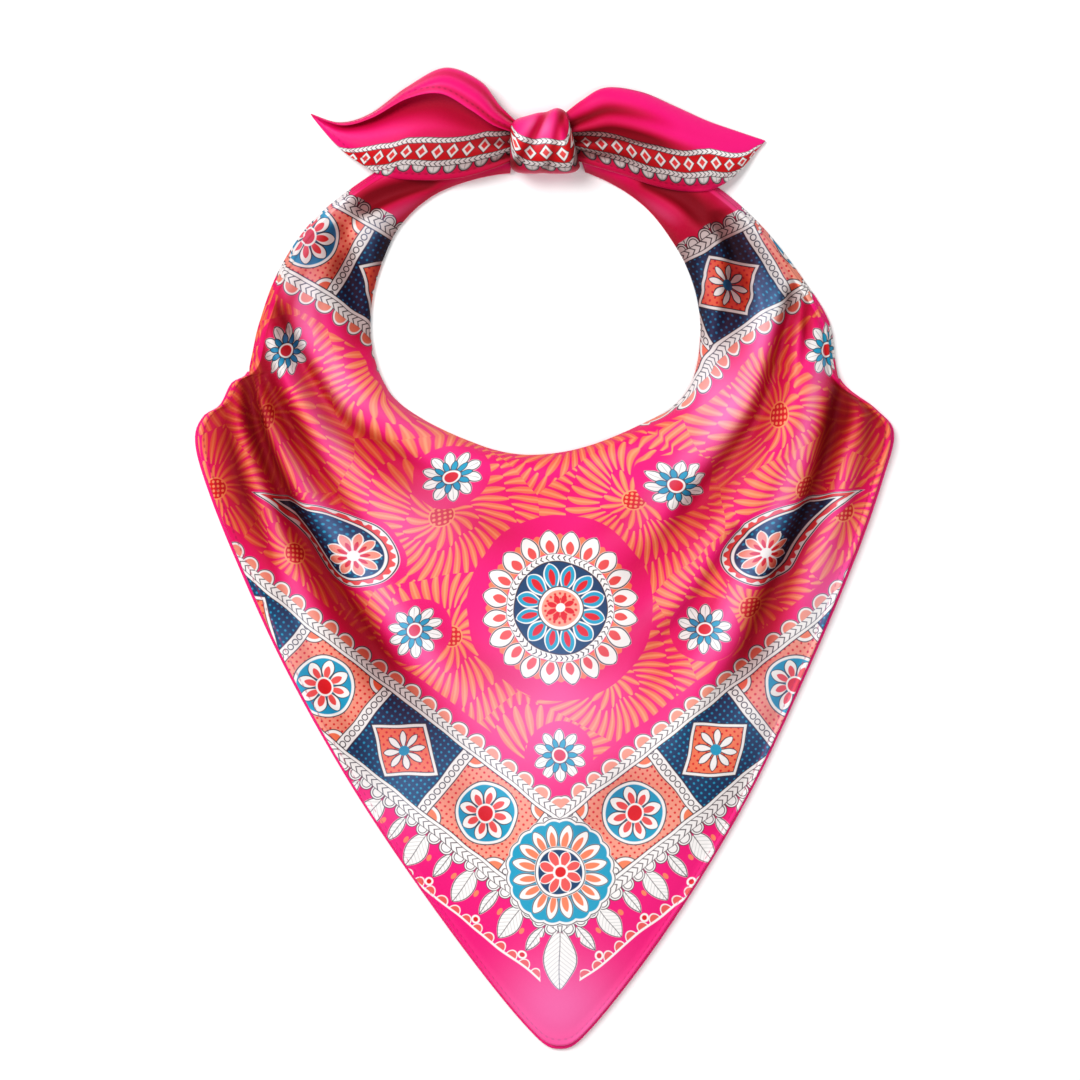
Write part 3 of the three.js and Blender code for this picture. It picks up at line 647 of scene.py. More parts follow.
def leftTailCloth(tree):
    along, t, row = tailEdges(leftTail)
    low, top, lip, arch = row[:, 0:3], row[:, 3:6], row[:, 6:9], row[:, 9:10]
    tall = np.linalg.norm(top[:, :2] - low[:, :2], axis=1)
    body = between(low, top, t)
    body[..., 2] += arch * (4 * t * (1 - t) * (1 - 0.35 * t))
    # the hollow in front of the curled edge
    lipAt = np.clip(np.linalg.norm(lip[:, :2] - low[:, :2], axis=1) / np.maximum(tall, 1), 0, 1)[:, None]
    body[..., 2] -= np.minimum(arch * 0.55, 2.6) * hump(t, lipAt - 0.06, 0.16)
    body[..., 2] += gathers(along, t, 0.9, 3.5, 0.24)
    restOn(tree, body, tailSheet["clearance"])
    # the curl: round the top edge and forward to the lip, clear of the cloth below it
    flip = np.linspace(0, 1, leftTail["curlRows"])[None, :]
    start = body[:, -1, :]
    curl = between(start, lip, flip)
    high = np.maximum(lip[:, 2], body[:, int(leftTail["bodyRows"] * 0.7), 2] + 1.2)
    rise = np.sin(np.pi * np.minimum(flip * 0.62, 0.5)) ** 0.8
    curl[..., 2] = start[:, None, 2] + (high - start[:, 2])[:, None] * rise + 0.35
    curl[..., 2] += gathers(along, flip * 0.6, 0.7, 3.0, 0.3)
    place = np.linalg.norm(curl[..., :2] - low[:, None, :2], axis=2) / np.maximum(tall, 1e-6)[:, None]
    clear = np.array([np.interp(p, t[0], z) for p, z in zip(np.clip(place, 0, 1), body[..., 2])])
    curl[..., 2] = np.maximum(curl[..., 2], clear + 0.75 * smooth(0, 0.12, flip))
    hem = lowRoll(body, outFrom(low, top))
    grid = np.concatenate([hem, body, curl[:, 1:, :]], axis=1)
    # painted shade: under the lip, between the gathers, along the lower border, over the curl and near the
    # knot
    shade = np.zeros(grid.shape[:2])
    hemRows = hem.shape[1]
    bodyEnd = hemRows + leftTail["bodyRows"]
    underLip = 0.6 * hump(t, lipAt - 0.1, 0.17) * (t < lipAt + 0.1) * smooth(0, 0.2, 1 - along)
    shade[:, hemRows:bodyEnd] = underLip + 0.5 * gatherShade(along, t, 3.5, 0.26)
    fromHem = np.arange(bodyEnd) / bodyEnd
    shade[:, :bodyEnd] += 0.38 * (1 - smooth(0.3, 1, along)) * (1 - smooth(0.35, 0.55, fromHem))
    flip = flip[:, 1:]
    shade[:, bodyEnd:] += 0.7 * gatherShade(along, flip * 0.6, 3.0, 0.34)
    shade[:, bodyEnd:] += (0.16 + 0.3 * hump(flip, 0.2, 0.16)) * smooth(0.3, 1, along)
    shade += 0.6 * np.exp(-along / 0.07) + 0.2 * np.exp(-along / 0.3)
    return grid, shade, hemRows


def rightTailCloth(tree):
    along, t, row = tailEdges(rightTail)
    low, top, arch = row[:, 0:3], row[:, 3:6], row[:, 6:7]
    body = between(low, top, t)
    body[..., 2] += arch * (4 * t * (1 - t)) ** 0.8
    body[..., 2] += gathers(along, t, 0.9, 3.2, 0.22)
    # painted shade: in the troughs, above the lower border near the knot, between the gathers, along the
    # hem margin and near the knot
    troughShade = np.zeros(body.shape[:2])
    for at, drift, deep, wide, far in rightTail["troughs"]:
        furrow = hump(t, at + drift * along, wide) * (1 - smooth(far * 0.4, far, along))
        body[..., 2] -= deep * furrow
        troughShade += 0.44 * deep * furrow
    troughShade += 0.45 * hump(t, 0.5 + 0.08 * along, 0.13) * (1 - smooth(0.12, 0.62, along))
    troughShade += 0.35 * gatherShade(along, t, 3.2, 0.2)
    troughShade += 0.22 * hump(t, 0.12, 0.2) * smooth(0.2, 0.5, along)
    troughShade += 0.36 * (1 - smooth(0.3, 1, along)) * (1 - smooth(0.4, 0.62, t))
    restOn(tree, body, tailSheet["clearance"] + 0.9)
    # the back ply, from the top edge down underneath
    last = rightTail["bodyRows"] - 1
    back = np.rint(np.linspace(0.02, 0.94, rightTail["backRows"]) * last).astype(int)
    under = body[:, ::-1, :][:, back, :].copy()
    under[..., 2] = np.maximum(under[..., 2] - 1.0, 0.4)
    edge = (body[:, -1:, :] + under[:, :1, :]) / 2
    out = outFrom(low, top)
    edge[..., :2] -= 0.35 * out
    hem = lowRoll(body, out)
    grid = np.concatenate([hem, body, edge, under], axis=1)
    shade = np.zeros(grid.shape[:2])
    shade[:, hem.shape[1] : hem.shape[1] + rightTail["bodyRows"]] = troughShade
    shade += 0.65 * np.exp(-along / 0.07) + 0.14 * np.exp(-along / 0.3)
    return grid, shade, hem.shape[1]


def tailMap(grid, hemRow, bodyRows, leaves, slip):
    # along the tail, and in from its lower edge, drawn together where the cloth is gathered;
    # from the share "leaves" on, the printed rows run out over the hem
    across = arcAlong(grid, 1)
    across = across - across[:, hemRow : hemRow + 1]
    along = arcAlong(grid, 0).mean(axis=1, keepdims=True) + 0 * across
    drawn = np.clip(across[:, hemRow + bodyRows - 1][:, None] / 34, 0.35, 1) ** 0.45
    past = along / along[-1:]
    printed = across / drawn + slip * np.maximum(past - leaves, 0) ** 1.15
    fromHem = np.minimum(across, across[:, -1:] - across)
    return {"cloth": np.stack([along, printed], -1) * mm, "hem": np.stack([along, fromHem], -1) * mm}


def makeTail(name, tail, cloth, turnOver):
    grid, shade, hemRow = cloth
    maps = tailMap(grid, hemRow, tail["bodyRows"], *tail["slip"])
    return sheetFrom(name, grid, maps, tailSheet["cloth"], turnOver=turnOver, paintedShade=shade)


frontTree = treeOf(front)
tailLeft = makeTail("tailLeft", leftTail, leftTailCloth(frontTree), True)
tailRight = makeTail("tailRight", rightTail, rightTailCloth(frontTree), False)
for tail, names in (
    (tailLeft, ("tail_left_front", "tail_left_back")),
    (tailRight, ("tail_right_front", "tail_right_back")),
):
    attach(tail, "root")
    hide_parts(*names)
print("tails made")

# knot
knot = {
    "y": 174.9,
    "halfDepth": 13.2,
    "height": 21.4,
    "square": 2.35,
    "left": -14.2,
    "right": 12.6,
    "rightLean": 0.244,
    "slant": 6.2,
    "rim": 3.0,  # how far the edges turn in towards the ends that they hold
    "cloth": 0.4,
    "columns": 70,
    "around": 120,
    # folds that cross the loop: place at its front, drift towards its back, depth, half width
    "folds": [(0.30, 0.34, 1.5, 0.10), (0.72, 0.26, 1.1, 0.07), (0.93, 0.0, 1.0, 0.07)],
}


def rims(across, width):
    # 1 at both ends of the loop
    return np.exp(-across / width) + np.exp(-(1 - across) / width)


def knotWrap():
    across = np.linspace(0, 1, knot["columns"])[:, None]
    turn = np.linspace(-math.pi / 2, 1.5 * math.pi, knot["around"])[None, :]
    shape = lambda v: np.sign(v) * np.abs(v) ** (2 / knot["square"])
    fold = 0 * across * turn
    for at, drift, deep, wide in knot["folds"]:
        # the fold leans across the loop from its lower edge to its upper one
        fold = fold + deep * hump(across, at - drift * np.cos(turn) + 0.03 * np.sin(2 * turn), wide)
    upper = np.clip(np.sin(turn) + 0.3, 0, 1)
    ripple = 0.12 * np.sin(across * 17 + 3 * turn)
    inward = knot["rim"] * rims(across, 0.055) + fold * upper + ripple * upper
    half = knot["halfDepth"]
    y = knot["y"] - (half - inward) * shape(np.cos(turn))
    z = knot["height"] / 2 + (knot["height"] / 2 - inward) * shape(np.sin(turn))
    y = y + knot["slant"] * (across - 0.62) * smooth(knot["y"] - half, knot["y"] + half, y)
    right = knot["right"] - knot["rightLean"] * (y - knot["y"])
    x = knot["left"] + (right - knot["left"]) * across
    # painted shade in the folds, at the turned-in rims and over the loop's lower front; painted highlight
    # on its top
    shade = np.clip(0.42 * fold * upper + 0.5 * rims(across, 0.045) + 0.46 * hump(turn, 0.5, 0.6), 0, 1)
    paintedHighlight = 0.8 * hump(across, 0.47, 0.2) * hump(turn, 2.1, 0.42) * np.clip(1 - fold, 0, 1)
    return np.stack([x, y, np.maximum(z, 0.25)], -1), shade, paintedHighlight


knotGrid, knotShade, knotPaintedHighlight = knotWrap()
knotAlong = arcAlong(knotGrid, 0).mean(axis=1, keepdims=True) + 0 * knotGrid[..., 0]
knotMap = np.stack([knotAlong, arcAlong(knotGrid, 1) - 21], -1)
knotMaps = {"cloth": knotMap * mm, "hem": (knotMap * 0 + (0, noStitches)) * mm}
wrap = sheetFrom(
    "knotWrap", knotGrid, knotMaps, knot["cloth"], closedRound=True, paintedShade=knotShade, crest=knotPaintedHighlight
)
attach(wrap, "root")
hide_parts("knot")
print("knot made")


# silk: the print is drawn with sums on the cloth's own flat measures, in mm
def ink(*parts):
    # a printed colour as 0 to 255, for the shader
    return tuple(((c / 255 + 0.055) / 1.055) ** 2.4 if c > 10 else c / 3300 for c in parts) + (1,)


dyes = {
    "pink": ink(240, 26, 122),
    "deepPink": ink(232, 24, 112),
    "thread": ink(176, 12, 84),
    "orange": ink(246, 134, 96),
    "coral": ink(236, 92, 88),
    "amber": ink(250, 164, 116),
    "salmon": ink(244, 160, 138),
    "white": ink(247, 244, 242),
    "silver": ink(196, 198, 196),
    "line": ink(58, 50, 58),
    "turquoise": ink(22, 160, 196),
    "sea": ink(8, 70, 108),
    "red": ink(222, 34, 36),
}


class Wire:
    # a socket that takes part in sums, so that a pattern reads as one
    def __init__(self, tree, socket):
        self.tree, self.socket = tree, socket


# each sign or function on a wire makes its own maths node
for name, operation in (
    ("add", "ADD"), ("sub", "SUBTRACT"), ("mul", "MULTIPLY"), ("truediv", "DIVIDE"), ("pow", "POWER"),
):
    setattr(Wire, f"__{name}__", lambda self, other, operation=operation: sums(operation, self, other))
    setattr(Wire, f"__r{name}__", lambda self, other, operation=operation: sums(operation, other, self))
for name, operation in (("__abs__", "ABSOLUTE"), ("floor", "FLOOR"), ("fract", "FRACT"), ("sin", "SINE")):
    setattr(Wire, name, lambda self, operation=operation: sums(operation, self))


def feed(socket, value):
    # a wire is linked; a dye's name, a colour or a number is the socket's own value
    if isinstance(value, Wire):
        value.tree.links.new(value.socket, socket)
    else:
        socket.default_value = dyes.get(value, value)


def newNode(tree, kind, **settings):
    made = tree.nodes.new("ShaderNode" + kind)
    for name, value in settings.items():
        setattr(made, name, value)
    return made


def treeIn(*values):
    # which node tree the wires among these values are in
    return next(v.tree for v in values if isinstance(v, Wire))


def parts(kind, *values, **settings):
    # the outputs of a new node that takes the values in order
    tree = treeIn(*values)
    made = newNode(tree, kind, **settings)
    for socket, value in zip(made.inputs, values):
        feed(socket, value)
    return [Wire(tree, socket) for socket in made.outputs]


def sums(operation, *values, clamp=False):
    return parts("Math", *values, operation=operation, use_clamp=clamp)[0]


def least(a, b):
    return sums("MINIMUM", a, b)


def most(a, b):
    return sums("MAXIMUM", a, b)


def reach(a, b):
    return (a * a + b * b) ** 0.5


def polar(x, y):
    # distance from the middle, and the turn round it, as a share of a whole turn
    return reach(x, y), sums("ARCTAN2", y, x) * (1 / (2 * math.pi))


def repeated(s, pitch):
    # place within one repeat of a pattern, from its middle
    return ((s * (1 / pitch)).fract() - 0.5) * pitch


def within(value, edge=0.34):
    # 1 where the value is below 0, with a soft edge in mm
    return sums("MULTIPLY_ADD", value, -1 / edge, 0.5, clamp=True)


def stroke(value, width, edge=0.3):
    # a drawn line where the value crosses 0
    return within(abs(value) - width / 2, edge)


def dotted(x, y, perMm, size, edge=0.16):
    return within(reach((x * perMm).fract() - 0.5, (y * perMm).fract() - 0.5) - size, edge)


def over(mask, top, below, blend="MIX"):
    # one ink printed over another
    tree = treeIn(mask, top, below)
    made = newNode(tree, "Mix", data_type="RGBA", blend_type=blend)
    for number, value in ((0, mask), (6, below), (7, top)):
        feed(made.inputs[number], value)
    return Wire(tree, made.outputs[2])


def layers(colour, *inks):
    # masks with their inks, printed one over the other
    for mask, top in inks:
        colour = over(mask, top, colour)
    return colour


def useGroup(group, *values):
    return parts("Group", *values, node_tree=groups[group])


def noise(output, x, y, scale):
    made = newNode(x.tree, "TexNoise", noise_dimensions="2D")
    made.inputs["Scale"].default_value = scale
    made.inputs["Detail"].default_value = 0
    feed(made.inputs["Vector"], parts("CombineXYZ", x, y)[0])
    return Wire(x.tree, made.outputs[output])


bloom = {
    "spacing": 60,
    "uneven": 0.72,
    "ring": 15.5,
    "firstPetals": 17,
    "morePetals": 19,
    "fullness": 0.37,
    "lean": 1.1,
    "head": 4.6,
}
medallion = {"radius": 33, "halo": 39, "rays": 20, "buds": 12}
rosette = {"radius": 11.5, "halo": 14.5, "petals": 10}
paisley = {"length": 44, "head": 16, "petals": 9}
border = {
    "margin": 18,
    "rope": 1.9,
    "dropsTop": 38,
    "low": 42,
    "high": 77,
    "panel": 43,
    "leafPitch": 12.4,
    "petalPitch": 6.2,
    "crownPitch": 8.6,
}
cornerRose = {"radius": 22.4, "petals": 16}
tailBorder = {"pitch": 6.4, "drops": 6.4, "row": 12.2, "ropes": (7.4, 16.9), "rope": 1.35}
layout = {
    "axis": 6.7,  # the print is the same on both sides of this line
    "hemCorner": -206.0,
    "halfAngle": 52,
    "shoulderAt": (78, 188),
    "shoulderLean": 62,
    "medallionUp": -20,
    "paisleyAt": (84, 8),
    "paisleyTurn": -34,
    "rosettes": [(44, 38), (113, 88), (0, -82), (60, -28)],
}


def petalEdge(r, turn, inner, outer, count, fullness, shift=0.0):
    # below 0 inside a ring of pointed petals, in mm
    t = sums("DIVIDE", r - inner, outer - inner, clamp=True)
    f = abs((turn * count + shift).fract() - 0.5)
    width = fullness * (t * 0.88 * math.pi + 0.12 * math.pi).sin() ** 0.7
    return most(most((f - width) * r * (2 * math.pi / count), inner - r), r - outer)


def drawBloomField(x, y):
    # many-petalled blossoms side by side, orange and coral on the pink ground
    place = parts("CombineXYZ", x * (1 / bloom["spacing"]), y * (1 / bloom["spacing"]))[0]
    cells = newNode(x.tree, "TexVoronoi", voronoi_dimensions="2D")
    cells.inputs["Scale"].default_value = 1
    cells.inputs["Randomness"].default_value = bloom["uneven"]
    feed(cells.inputs["Vector"], place)
    nearest, chance = (Wire(x.tree, cells.outputs[label]) for label in ("Position", "Color"))
    away = parts("VectorMath", place, nearest, operation="SUBTRACT")[0]
    dx, dy = (wire * bloom["spacing"] for wire in parts("SeparateXYZ", away)[:2])
    luck, tone = parts("SeparateColor", chance)[:2]
    r, turn = polar(dx, dy)
    ringAt = r * (1 / bloom["ring"]) + 0.25 * luck + 0.12 * (turn * (10 * math.pi)).sin()
    ringNumber = ringAt.floor()
    t = ringAt.fract()
    count = ringNumber * bloom["morePetals"] + bloom["firstPetals"]
    petalAt = turn * count + ringNumber * 0.37 + t * bloom["lean"]
    f = abs(petalAt.fract() - 0.5)
    petalWidth = r * (2 * math.pi) / count
    outline = (f - bloom["fullness"] * (t * 0.93 * math.pi + 0.05 * math.pi).sin() ** 0.62) * petalWidth
    petal = within(outline, 0.4)
    core = stroke(f * petalWidth, 0.8, 0.5)
    warmth = sums("MULTIPLY_ADD", t, 0.5, tone * 0.4 + 0.3, clamp=True)
    petalInk = over(core * 0.8, "amber", over(warmth, "orange", "coral"))
    seeds = dotted(dx, dy, 0.5, 0.3, 0.2)
    head = r - bloom["head"]
    return [layers(
        over(petal, petalInk, "pink"),
        (within(head), over(seeds, "amber", "red")),
        (stroke(head, 0.6), "amber"),
    )]


def drawMedallion(x, y):
    # a large round flower in white, turquoise and coral
    r, turn = polar(x, y)
    full, rays, buds = medallion["radius"], medallion["rays"], medallion["buds"]
    ray = petalEdge(r, turn, full - 11, full, rays, 0.49)
    back = petalEdge(r, turn, full - 10.2, full - 1.6, rays, 0.4, 0.5)
    inset = petalEdge(r, turn, full - 10, full - 4.4, rays, 0.22)
    fromBraid = abs(r - full + 12)
    braid = stroke((turn * 56 + fromBraid * 0.35).fract() - 0.5, 0.24, 0.12) * within(fromBraid - 1.1)
    bud = petalEdge(r, turn, 8.5, full - 14.2, buds, 0.46)
    dots = within(reach((turn * 18).fract() - 0.5, (r * 0.4).fract() - 0.5) - 0.24, 0.2)
    colour = layers(
        "pink",
        (within(back), "orange"),
        (within(ray), "white"),
        (stroke(ray + 0.4, 0.5), "line"),
        (within(inset), "coral"),
        # inside the rays: a braided ring, then turquoise petals on a deep ground
        (within(r - full + 10.6), "white"),
        (braid, "line"),
        (within(r - full + 13.6), "sea"),
        (stroke(r - full + 13.6, 0.5), "line"),
        (within(bud), "turquoise"),
        (stroke(bud + 0.1, 0.6), "white"),
        (within(petalEdge(r, turn, 10, full - 16.4, buds, 0.2)), "red"),
        (within(r - 9.4), "white"),
        (stroke(r - 9.2, 0.5), "line"),
        (within(r - 7.8), "salmon"),
        (dots * within(r - 7.4), "red"),
        (within(petalEdge(r, turn, 0.4, 6.0, 8, 0.42)), "red"),
        (within(r - 1.9), "white"),
    )
    return colour, within(r - medallion["halo"])


def drawRosette(x, y):
    # a small white and turquoise flower
    r, turn = polar(x, y)
    count = rosette["petals"]
    outer = petalEdge(r, turn, 3.5, rosette["radius"], count, 0.49)
    inner = petalEdge(r, turn, 1.5, 7.4, count, 0.4, 0.5)
    ribs = stroke(((turn * count).fract() - 0.5) * 7, 0.4) * within(outer + 1.2)
    colour = layers(
        "pink",
        (within(outer), "white"),
        (stroke(outer + 0.35, 0.42), "line"),
        (ribs, "silver"),
        (within(inner), "turquoise"),
        (stroke(inner, 0.36), "line"),
        (within(r - 3.4), "white"),
        (within(r - 2.5), "red"),
        (stroke(r - 3.4, 0.3), "line"),
    )
    return colour, within(r - rosette["halo"])


def drawPaisley(x, y):
    # a leaning drop with a curled end, ringed with borders of its own
    bent = x - 0.014 * y * abs(y)
    length, count = paisley["length"], paisley["petals"]
    high = sums("DIVIDE", y + 2, length, clamp=True)
    edge = reach(bent, y + 2 - high * length) - paisley["head"] * (1 - high**1.5)
    waves = within(edge + 1.6 + 0.9 * (sums("ARCTAN2", y, bent) * 22).sin(), 0.4)
    r, turn = polar(bent, y + 2)
    flower = petalEdge(r, turn, 1.5, 10.2, count, 0.47)
    colour = layers(
        "pink",
        (within(edge), "white"),
        (stroke(edge + 0.45, 0.5), "line"),
        (waves * within(1.2 + edge), "coral"),
        (within(edge + 3.6), "white"),
        (stroke(edge + 3.6, 0.4), "line"),
        (within(edge + 4.8), "sea"),
        (dotted(bent, y, 0.36, 0.22) * within(edge + 5.6), "turquoise"),
        (within(flower), "salmon"),
        (stroke(flower, 0.6), "white"),
        (within(petalEdge(r, turn, 1.2, 6.4, count, 0.3)), "red"),
        (within(r - 2.4), "white"),
    )
    return colour, within(edge - 2.2)


def paintRope(s, off, half, colour):
    # a braided line: white, with slanting strokes and thin outlines
    strands = stroke(((s + abs(off) * 1.1) * (1 / (half * 1.5))).fract() - 0.5, 0.2, 0.16)
    rope = layers("white", (strands, "line"), (stroke(abs(off) - half + 0.1, 0.35), "line"))
    return over(within(abs(off) - half), rope, colour)


def paintLeaf(u, t, half, length, colour):
    # a veined leaf that hangs from its rope; t runs 0 to 1 from stalk to tip
    inRange = within(abs(t - 0.5) - 0.5, 0.04)
    shape = abs(u) - half * (sums("MAXIMUM", t, 0) * 0.9 * math.pi + 0.1 * math.pi).sin() ** 0.75
    veins = stroke((t * length * 0.5 - abs(u) * 0.42).fract() - 0.5, 0.14, 0.16)
    leaf = layers("white", (veins, "silver"), (stroke(u, 0.3), "line"), (stroke(shape + 0.3, 0.4), "line"))
    return over(within(shape) * inRange, leaf, colour)


def everyOther(number):
    # 1 for each odd whole number, 0 for the others
    return within(0.25 - abs((number * 0.5).fract()), 0.05)


def drawHangings(s, d):
    # between the bare margin and the panels: small petals, sprigs and berries under hanging leaves
    pitch, top, margin = border["leafPitch"], border["dropsTop"], border["margin"]
    n = (s * (1 / pitch) + 0.5).floor()
    u = s - n * pitch
    odd = everyOther(n)
    half = 4.9 - 2.3 * odd
    length = 15.5 - 3.0 * odd
    colour = paintLeaf(u, (top - 1.5 - d) / length, half, length, "pink")
    berry = reach(u, d - (top - 16.5)) - 1.9
    sprig = reach(abs(abs(u) - pitch / 2) * 1.6, d - (top - 8)) - 1.5
    low = reach(repeated(s, border["petalPitch"]), (d - margin) * 0.8) - 2.3
    pastMargin = within(margin - d, 0.4)
    scallop = reach(repeated(s, border["petalPitch"]), d - top) - 2.9
    return layers(
        colour,
        (within(berry) * odd, over(within(berry + 0.8), "red", "white")),
        (within(sprig), "orange"),
        (within(low) * pastMargin, "coral"),
        (stroke(low, 0.4) * pastMargin, "white"),
        (stroke(d - margin + 0.2, 0.9), "white"),
        (within(scallop), over(stroke(scallop + 0.9, 0.35), "line", "white")),
        (stroke(scallop, 0.35), "line"),
    )


def drawPanels(s, d, tall):
    # two kinds of panel in turn, and where they are; tall is half their height
    panel = (s * (1 / border["panel"]) + 0.5).floor()
    pu = s - panel * border["panel"]
    pv = d - (border["low"] + border["high"]) / 2
    r, turn = polar(pu, pv)
    dots = dotted(pu, pv, 0.42, 0.2)
    # one with a round flower on dotted coral, with quarter discs in its corners
    flower = petalEdge(r, turn, 2.5, 11.6, 8, 0.47)
    disc = reach(abs(pu) - 18.4, abs(pv) - tall) - 6.2
    flowerPanel = layers(
        over(dots, "red", "salmon"),
        (within(r - 13.6), "white"),
        (stroke(r - 13.4, 0.45), "line"),
        (within(r - 12), "turquoise"),
        (within(flower), "white"),
        (within(petalEdge(r, turn, 2.5, 9, 8, 0.3)), "coral"),
        (stroke(flower, 0.4), "line"),
        (within(r - 3.6), "red"),
        (stroke(r - 3.6, 0.8), "white"),
        (within(disc), "white"),
        (within(disc + 1.5), "orange"),
        (stroke(disc, 0.4), "line"),
    )
    # the other with a diamond star on deep blue-green
    diamond = (abs(pu) * 0.82 + abs(pv) - 14.4) * 0.75
    tips = petalEdge(r, turn, 0.5, 8.6, 8, 0.36, 0.5)
    starPanel = layers(
        over(dots, "turquoise", "sea"),
        (within(diamond), "white"),
        (stroke(diamond, 0.4), "line"),
        (within(diamond + 1.5), over(dots, "red", "orange")),
        (stroke(diamond + 1.5, 0.35), "line"),
        (within(tips), "white"),
        (stroke(tips, 0.4), "line"),
        (within(r - 2.2), "turquoise"),
    )
    # beaded posts between panels
    post = border["panel"] / 2 - 2.6 - abs(pu)
    bead = reach(abs(pu) - border["panel"] / 2, repeated(d, 3.1)) - 1.2
    return layers(
        over(everyOther(panel), starPanel, flowerPanel),
        (within(post), "white"),
        (stroke(bead, 0.4), "line"),
        (stroke(post, 0.4), "line"),
        (within(abs(abs(pv) - tall) - 1.7), "white"),
        (stroke(abs(pv) - tall + 1.7, 0.4), "line"),
    ), within(abs(pv) - tall)


def drawBorder(s, d):
    # from the hem inwards: bare margin, hanging leaves and berries, rope, panels, rope, scallops
    low, high, rope = border["low"], border["high"], border["rope"]
    panels, onPanels = drawPanels(s, d, (high - low) / 2)
    colour = over(onPanels, panels, drawHangings(s, d))
    colour = paintRope(s, d - (low - 1.6), rope, colour)
    colour = paintRope(s, d - (high + 1.6), rope, colour)
    rim = reach(repeated(s, border["crownPitch"]), d - (high + 3.4)) - 4.1
    crown = layers("white", (within(rim + 1.2), "salmon"), (stroke(rim + 0.2, 0.4), "line"))
    return over(within(rim) * within(high + 3.2 - d), crown, colour), within(d - (high + 10.5))


def drawCornerRose(x, y):
    # the flower over the long corner
    r, turn = polar(x, y)
    count = cornerRose["petals"]
    edge = r - cornerRose["radius"] - 0.9 * abs((turn * math.pi * 20).sin())
    outer = petalEdge(r, turn, 9, 20.4, count, 0.47)
    star = petalEdge(r, turn, 1.2, 9.2, 8, 0.46)
    colour = layers(
        over(within(edge + 1.6), "turquoise", "white"),
        (stroke(edge + 0.4, 0.4), "line"),
        (within(outer), "white"),
        (stroke(outer + 0.2, 0.4), "line"),
        (within(petalEdge(r, turn, 9, 17.4, count, 0.26)), "orange"),
        (within(r - 11), "white"),
        (stroke(r - 10.6, 0.4), "line"),
        (within(r - 9.4), "sea"),
        (within(star), "coral"),
        (stroke(star, 0.5), "white"),
        (within(r - 3.1), "white"),
        (within(r - 2.2), "red"),
    )
    return colour, within(edge)


def drawTailBorder(s, d):
    # a narrow border of drops, ropes and diamonds for the tails and the knot
    u = repeated(s, tailBorder["pitch"])
    drop = reach(u, (d - tailBorder["drops"]) * 0.82) - 3.0
    petal = over(within(drop + 0.9), over(stroke(u, 0.3), "silver", "white"), "silver")
    petal = over(stroke(drop + 0.2, 0.4), "line", petal)
    v = d - tailBorder["row"]
    diamond = abs(u) * 1.15 + abs(v)
    row = layers(
        "red",
        (within(diamond - 3.1), "white"),
        (within(diamond - 1.6), "coral"),
        (stroke(diamond - 3.1, 0.35), "line"),
    )
    colour = over(within(drop) * within(d - tailBorder["drops"]), petal, "pink")
    colour = over(within(abs(v) - 3.6), row, colour)
    for at in tailBorder["ropes"]:
        colour = paintRope(s, d - at, tailBorder["rope"], colour)
    return [colour]


def turned(x, y, degrees):
    c, s = math.cos(math.radians(degrees)), math.sin(math.radians(degrees))
    return x * c + y * s, y * c - x * s


def nearestPlace(x, y, places):
    # from the nearest of some places
    nearX, nearY, best = None, None, None
    for px, py in places:
        dx, dy = x - px, y - py
        away = reach(dx, dy)
        if best is None:
            nearX, nearY, best = dx, dy, away
            continue
        closer = sums("LESS_THAN", away, best)
        nearX = nearX + (dx - nearX) * closer
        nearY = nearY + (dy - nearY) * closer
        best = least(best, away)
    return nearX, nearY


def drawScarfPrint(x, y):
    colour = useGroup("bloomField", x, y)[0]
    side = x - layout["axis"]
    wide = abs(side)
    px, py = layout["paisleyAt"]
    for group, place in (
        ("rosette", nearestPlace(wide, y, layout["rosettes"])),
        ("medallion", (side, y - layout["medallionUp"])),
        ("paisley", turned(wide - px, y - py, layout["paisleyTurn"])),
    ):
        top, cover = useGroup(group, *place)
        colour = over(cover, top, colour)
    # the border that meets at the long corner, and the one that crosses each band
    lean = math.radians(layout["halfAngle"])
    up = y - layout["hemCorner"]
    d1 = up * math.sin(lean) - wide * math.cos(lean)
    s1 = up * math.cos(lean) + wide * math.sin(lean)
    lean = math.radians(layout["shoulderLean"])
    px, py = layout["shoulderAt"]
    d2 = (wide - px) * math.cos(lean) + (py - y) * math.sin(lean)
    s2 = (wide - px) * math.sin(lean) - (py - y) * math.cos(lean)
    second = sums("LESS_THAN", d2, d1)
    d = least(d1, d2)
    top, cover = useGroup("printedBorder", s1 + (s2 - s1) * second, d)
    colour = layers(
        colour,
        (cover, top),
        # plain silk from the border on each band to the knot
        (second * within(d - (border["dropsTop"] - 3.4)), "pink"),
        # at the long corner the two lengths of border meet under a flower and one upright leaf
        (within(most(wide - 8.6, abs(up - 33) - 14.5)), "pink"),
    )
    colour = paintLeaf(wide, (49 - up) / 24, 7.2, 24, colour)
    top, cover = useGroup("cornerRose", side, up - 75)
    return [over(cover, top, colour)]


def drawHandDrawn(x, y, sway):
    # lines drawn by hand are never quite true
    wander = noise("Color", x * 0.07, y * 0.07, 1)
    aside, upward, tone = parts("SeparateColor", wander)
    return x + (aside - 0.5) * sway, y + (upward - 0.5) * sway, tone


def drawHemStitches(along, inward):
    # small stitches that hold the rolled hem, and the shallow groove that they draw in, with painted shade
    # in the groove
    stitch = within(reach(((along * (1 / 2.8)).fract() - 0.5) * 1.5, inward - 2.6) - 0.42, 0.3)
    groove = within(abs(inward - 2.75) - 0.3, 0.7)
    return most(stitch * 0.5, groove * 0.2), groove


def drawPaintedFoldLight(colour, depth, crest):
    # painted shade: in the hollows the colour is made deeper, redder and darker; painted highlight: along
    # the crests it is screened paler
    depth = sums("MAXIMUM", depth, 0, clamp=True)
    deep = parts("Gamma", colour, depth * 1.2 + 1)[0]
    deep = over(1, over(depth, (0.25, 0.12, 0.12, 1), (1, 1, 1, 1)), deep, "MULTIPLY")
    return [over(crest, (0.12, 0.18, 0.35, 1), deep, "SCREEN")]


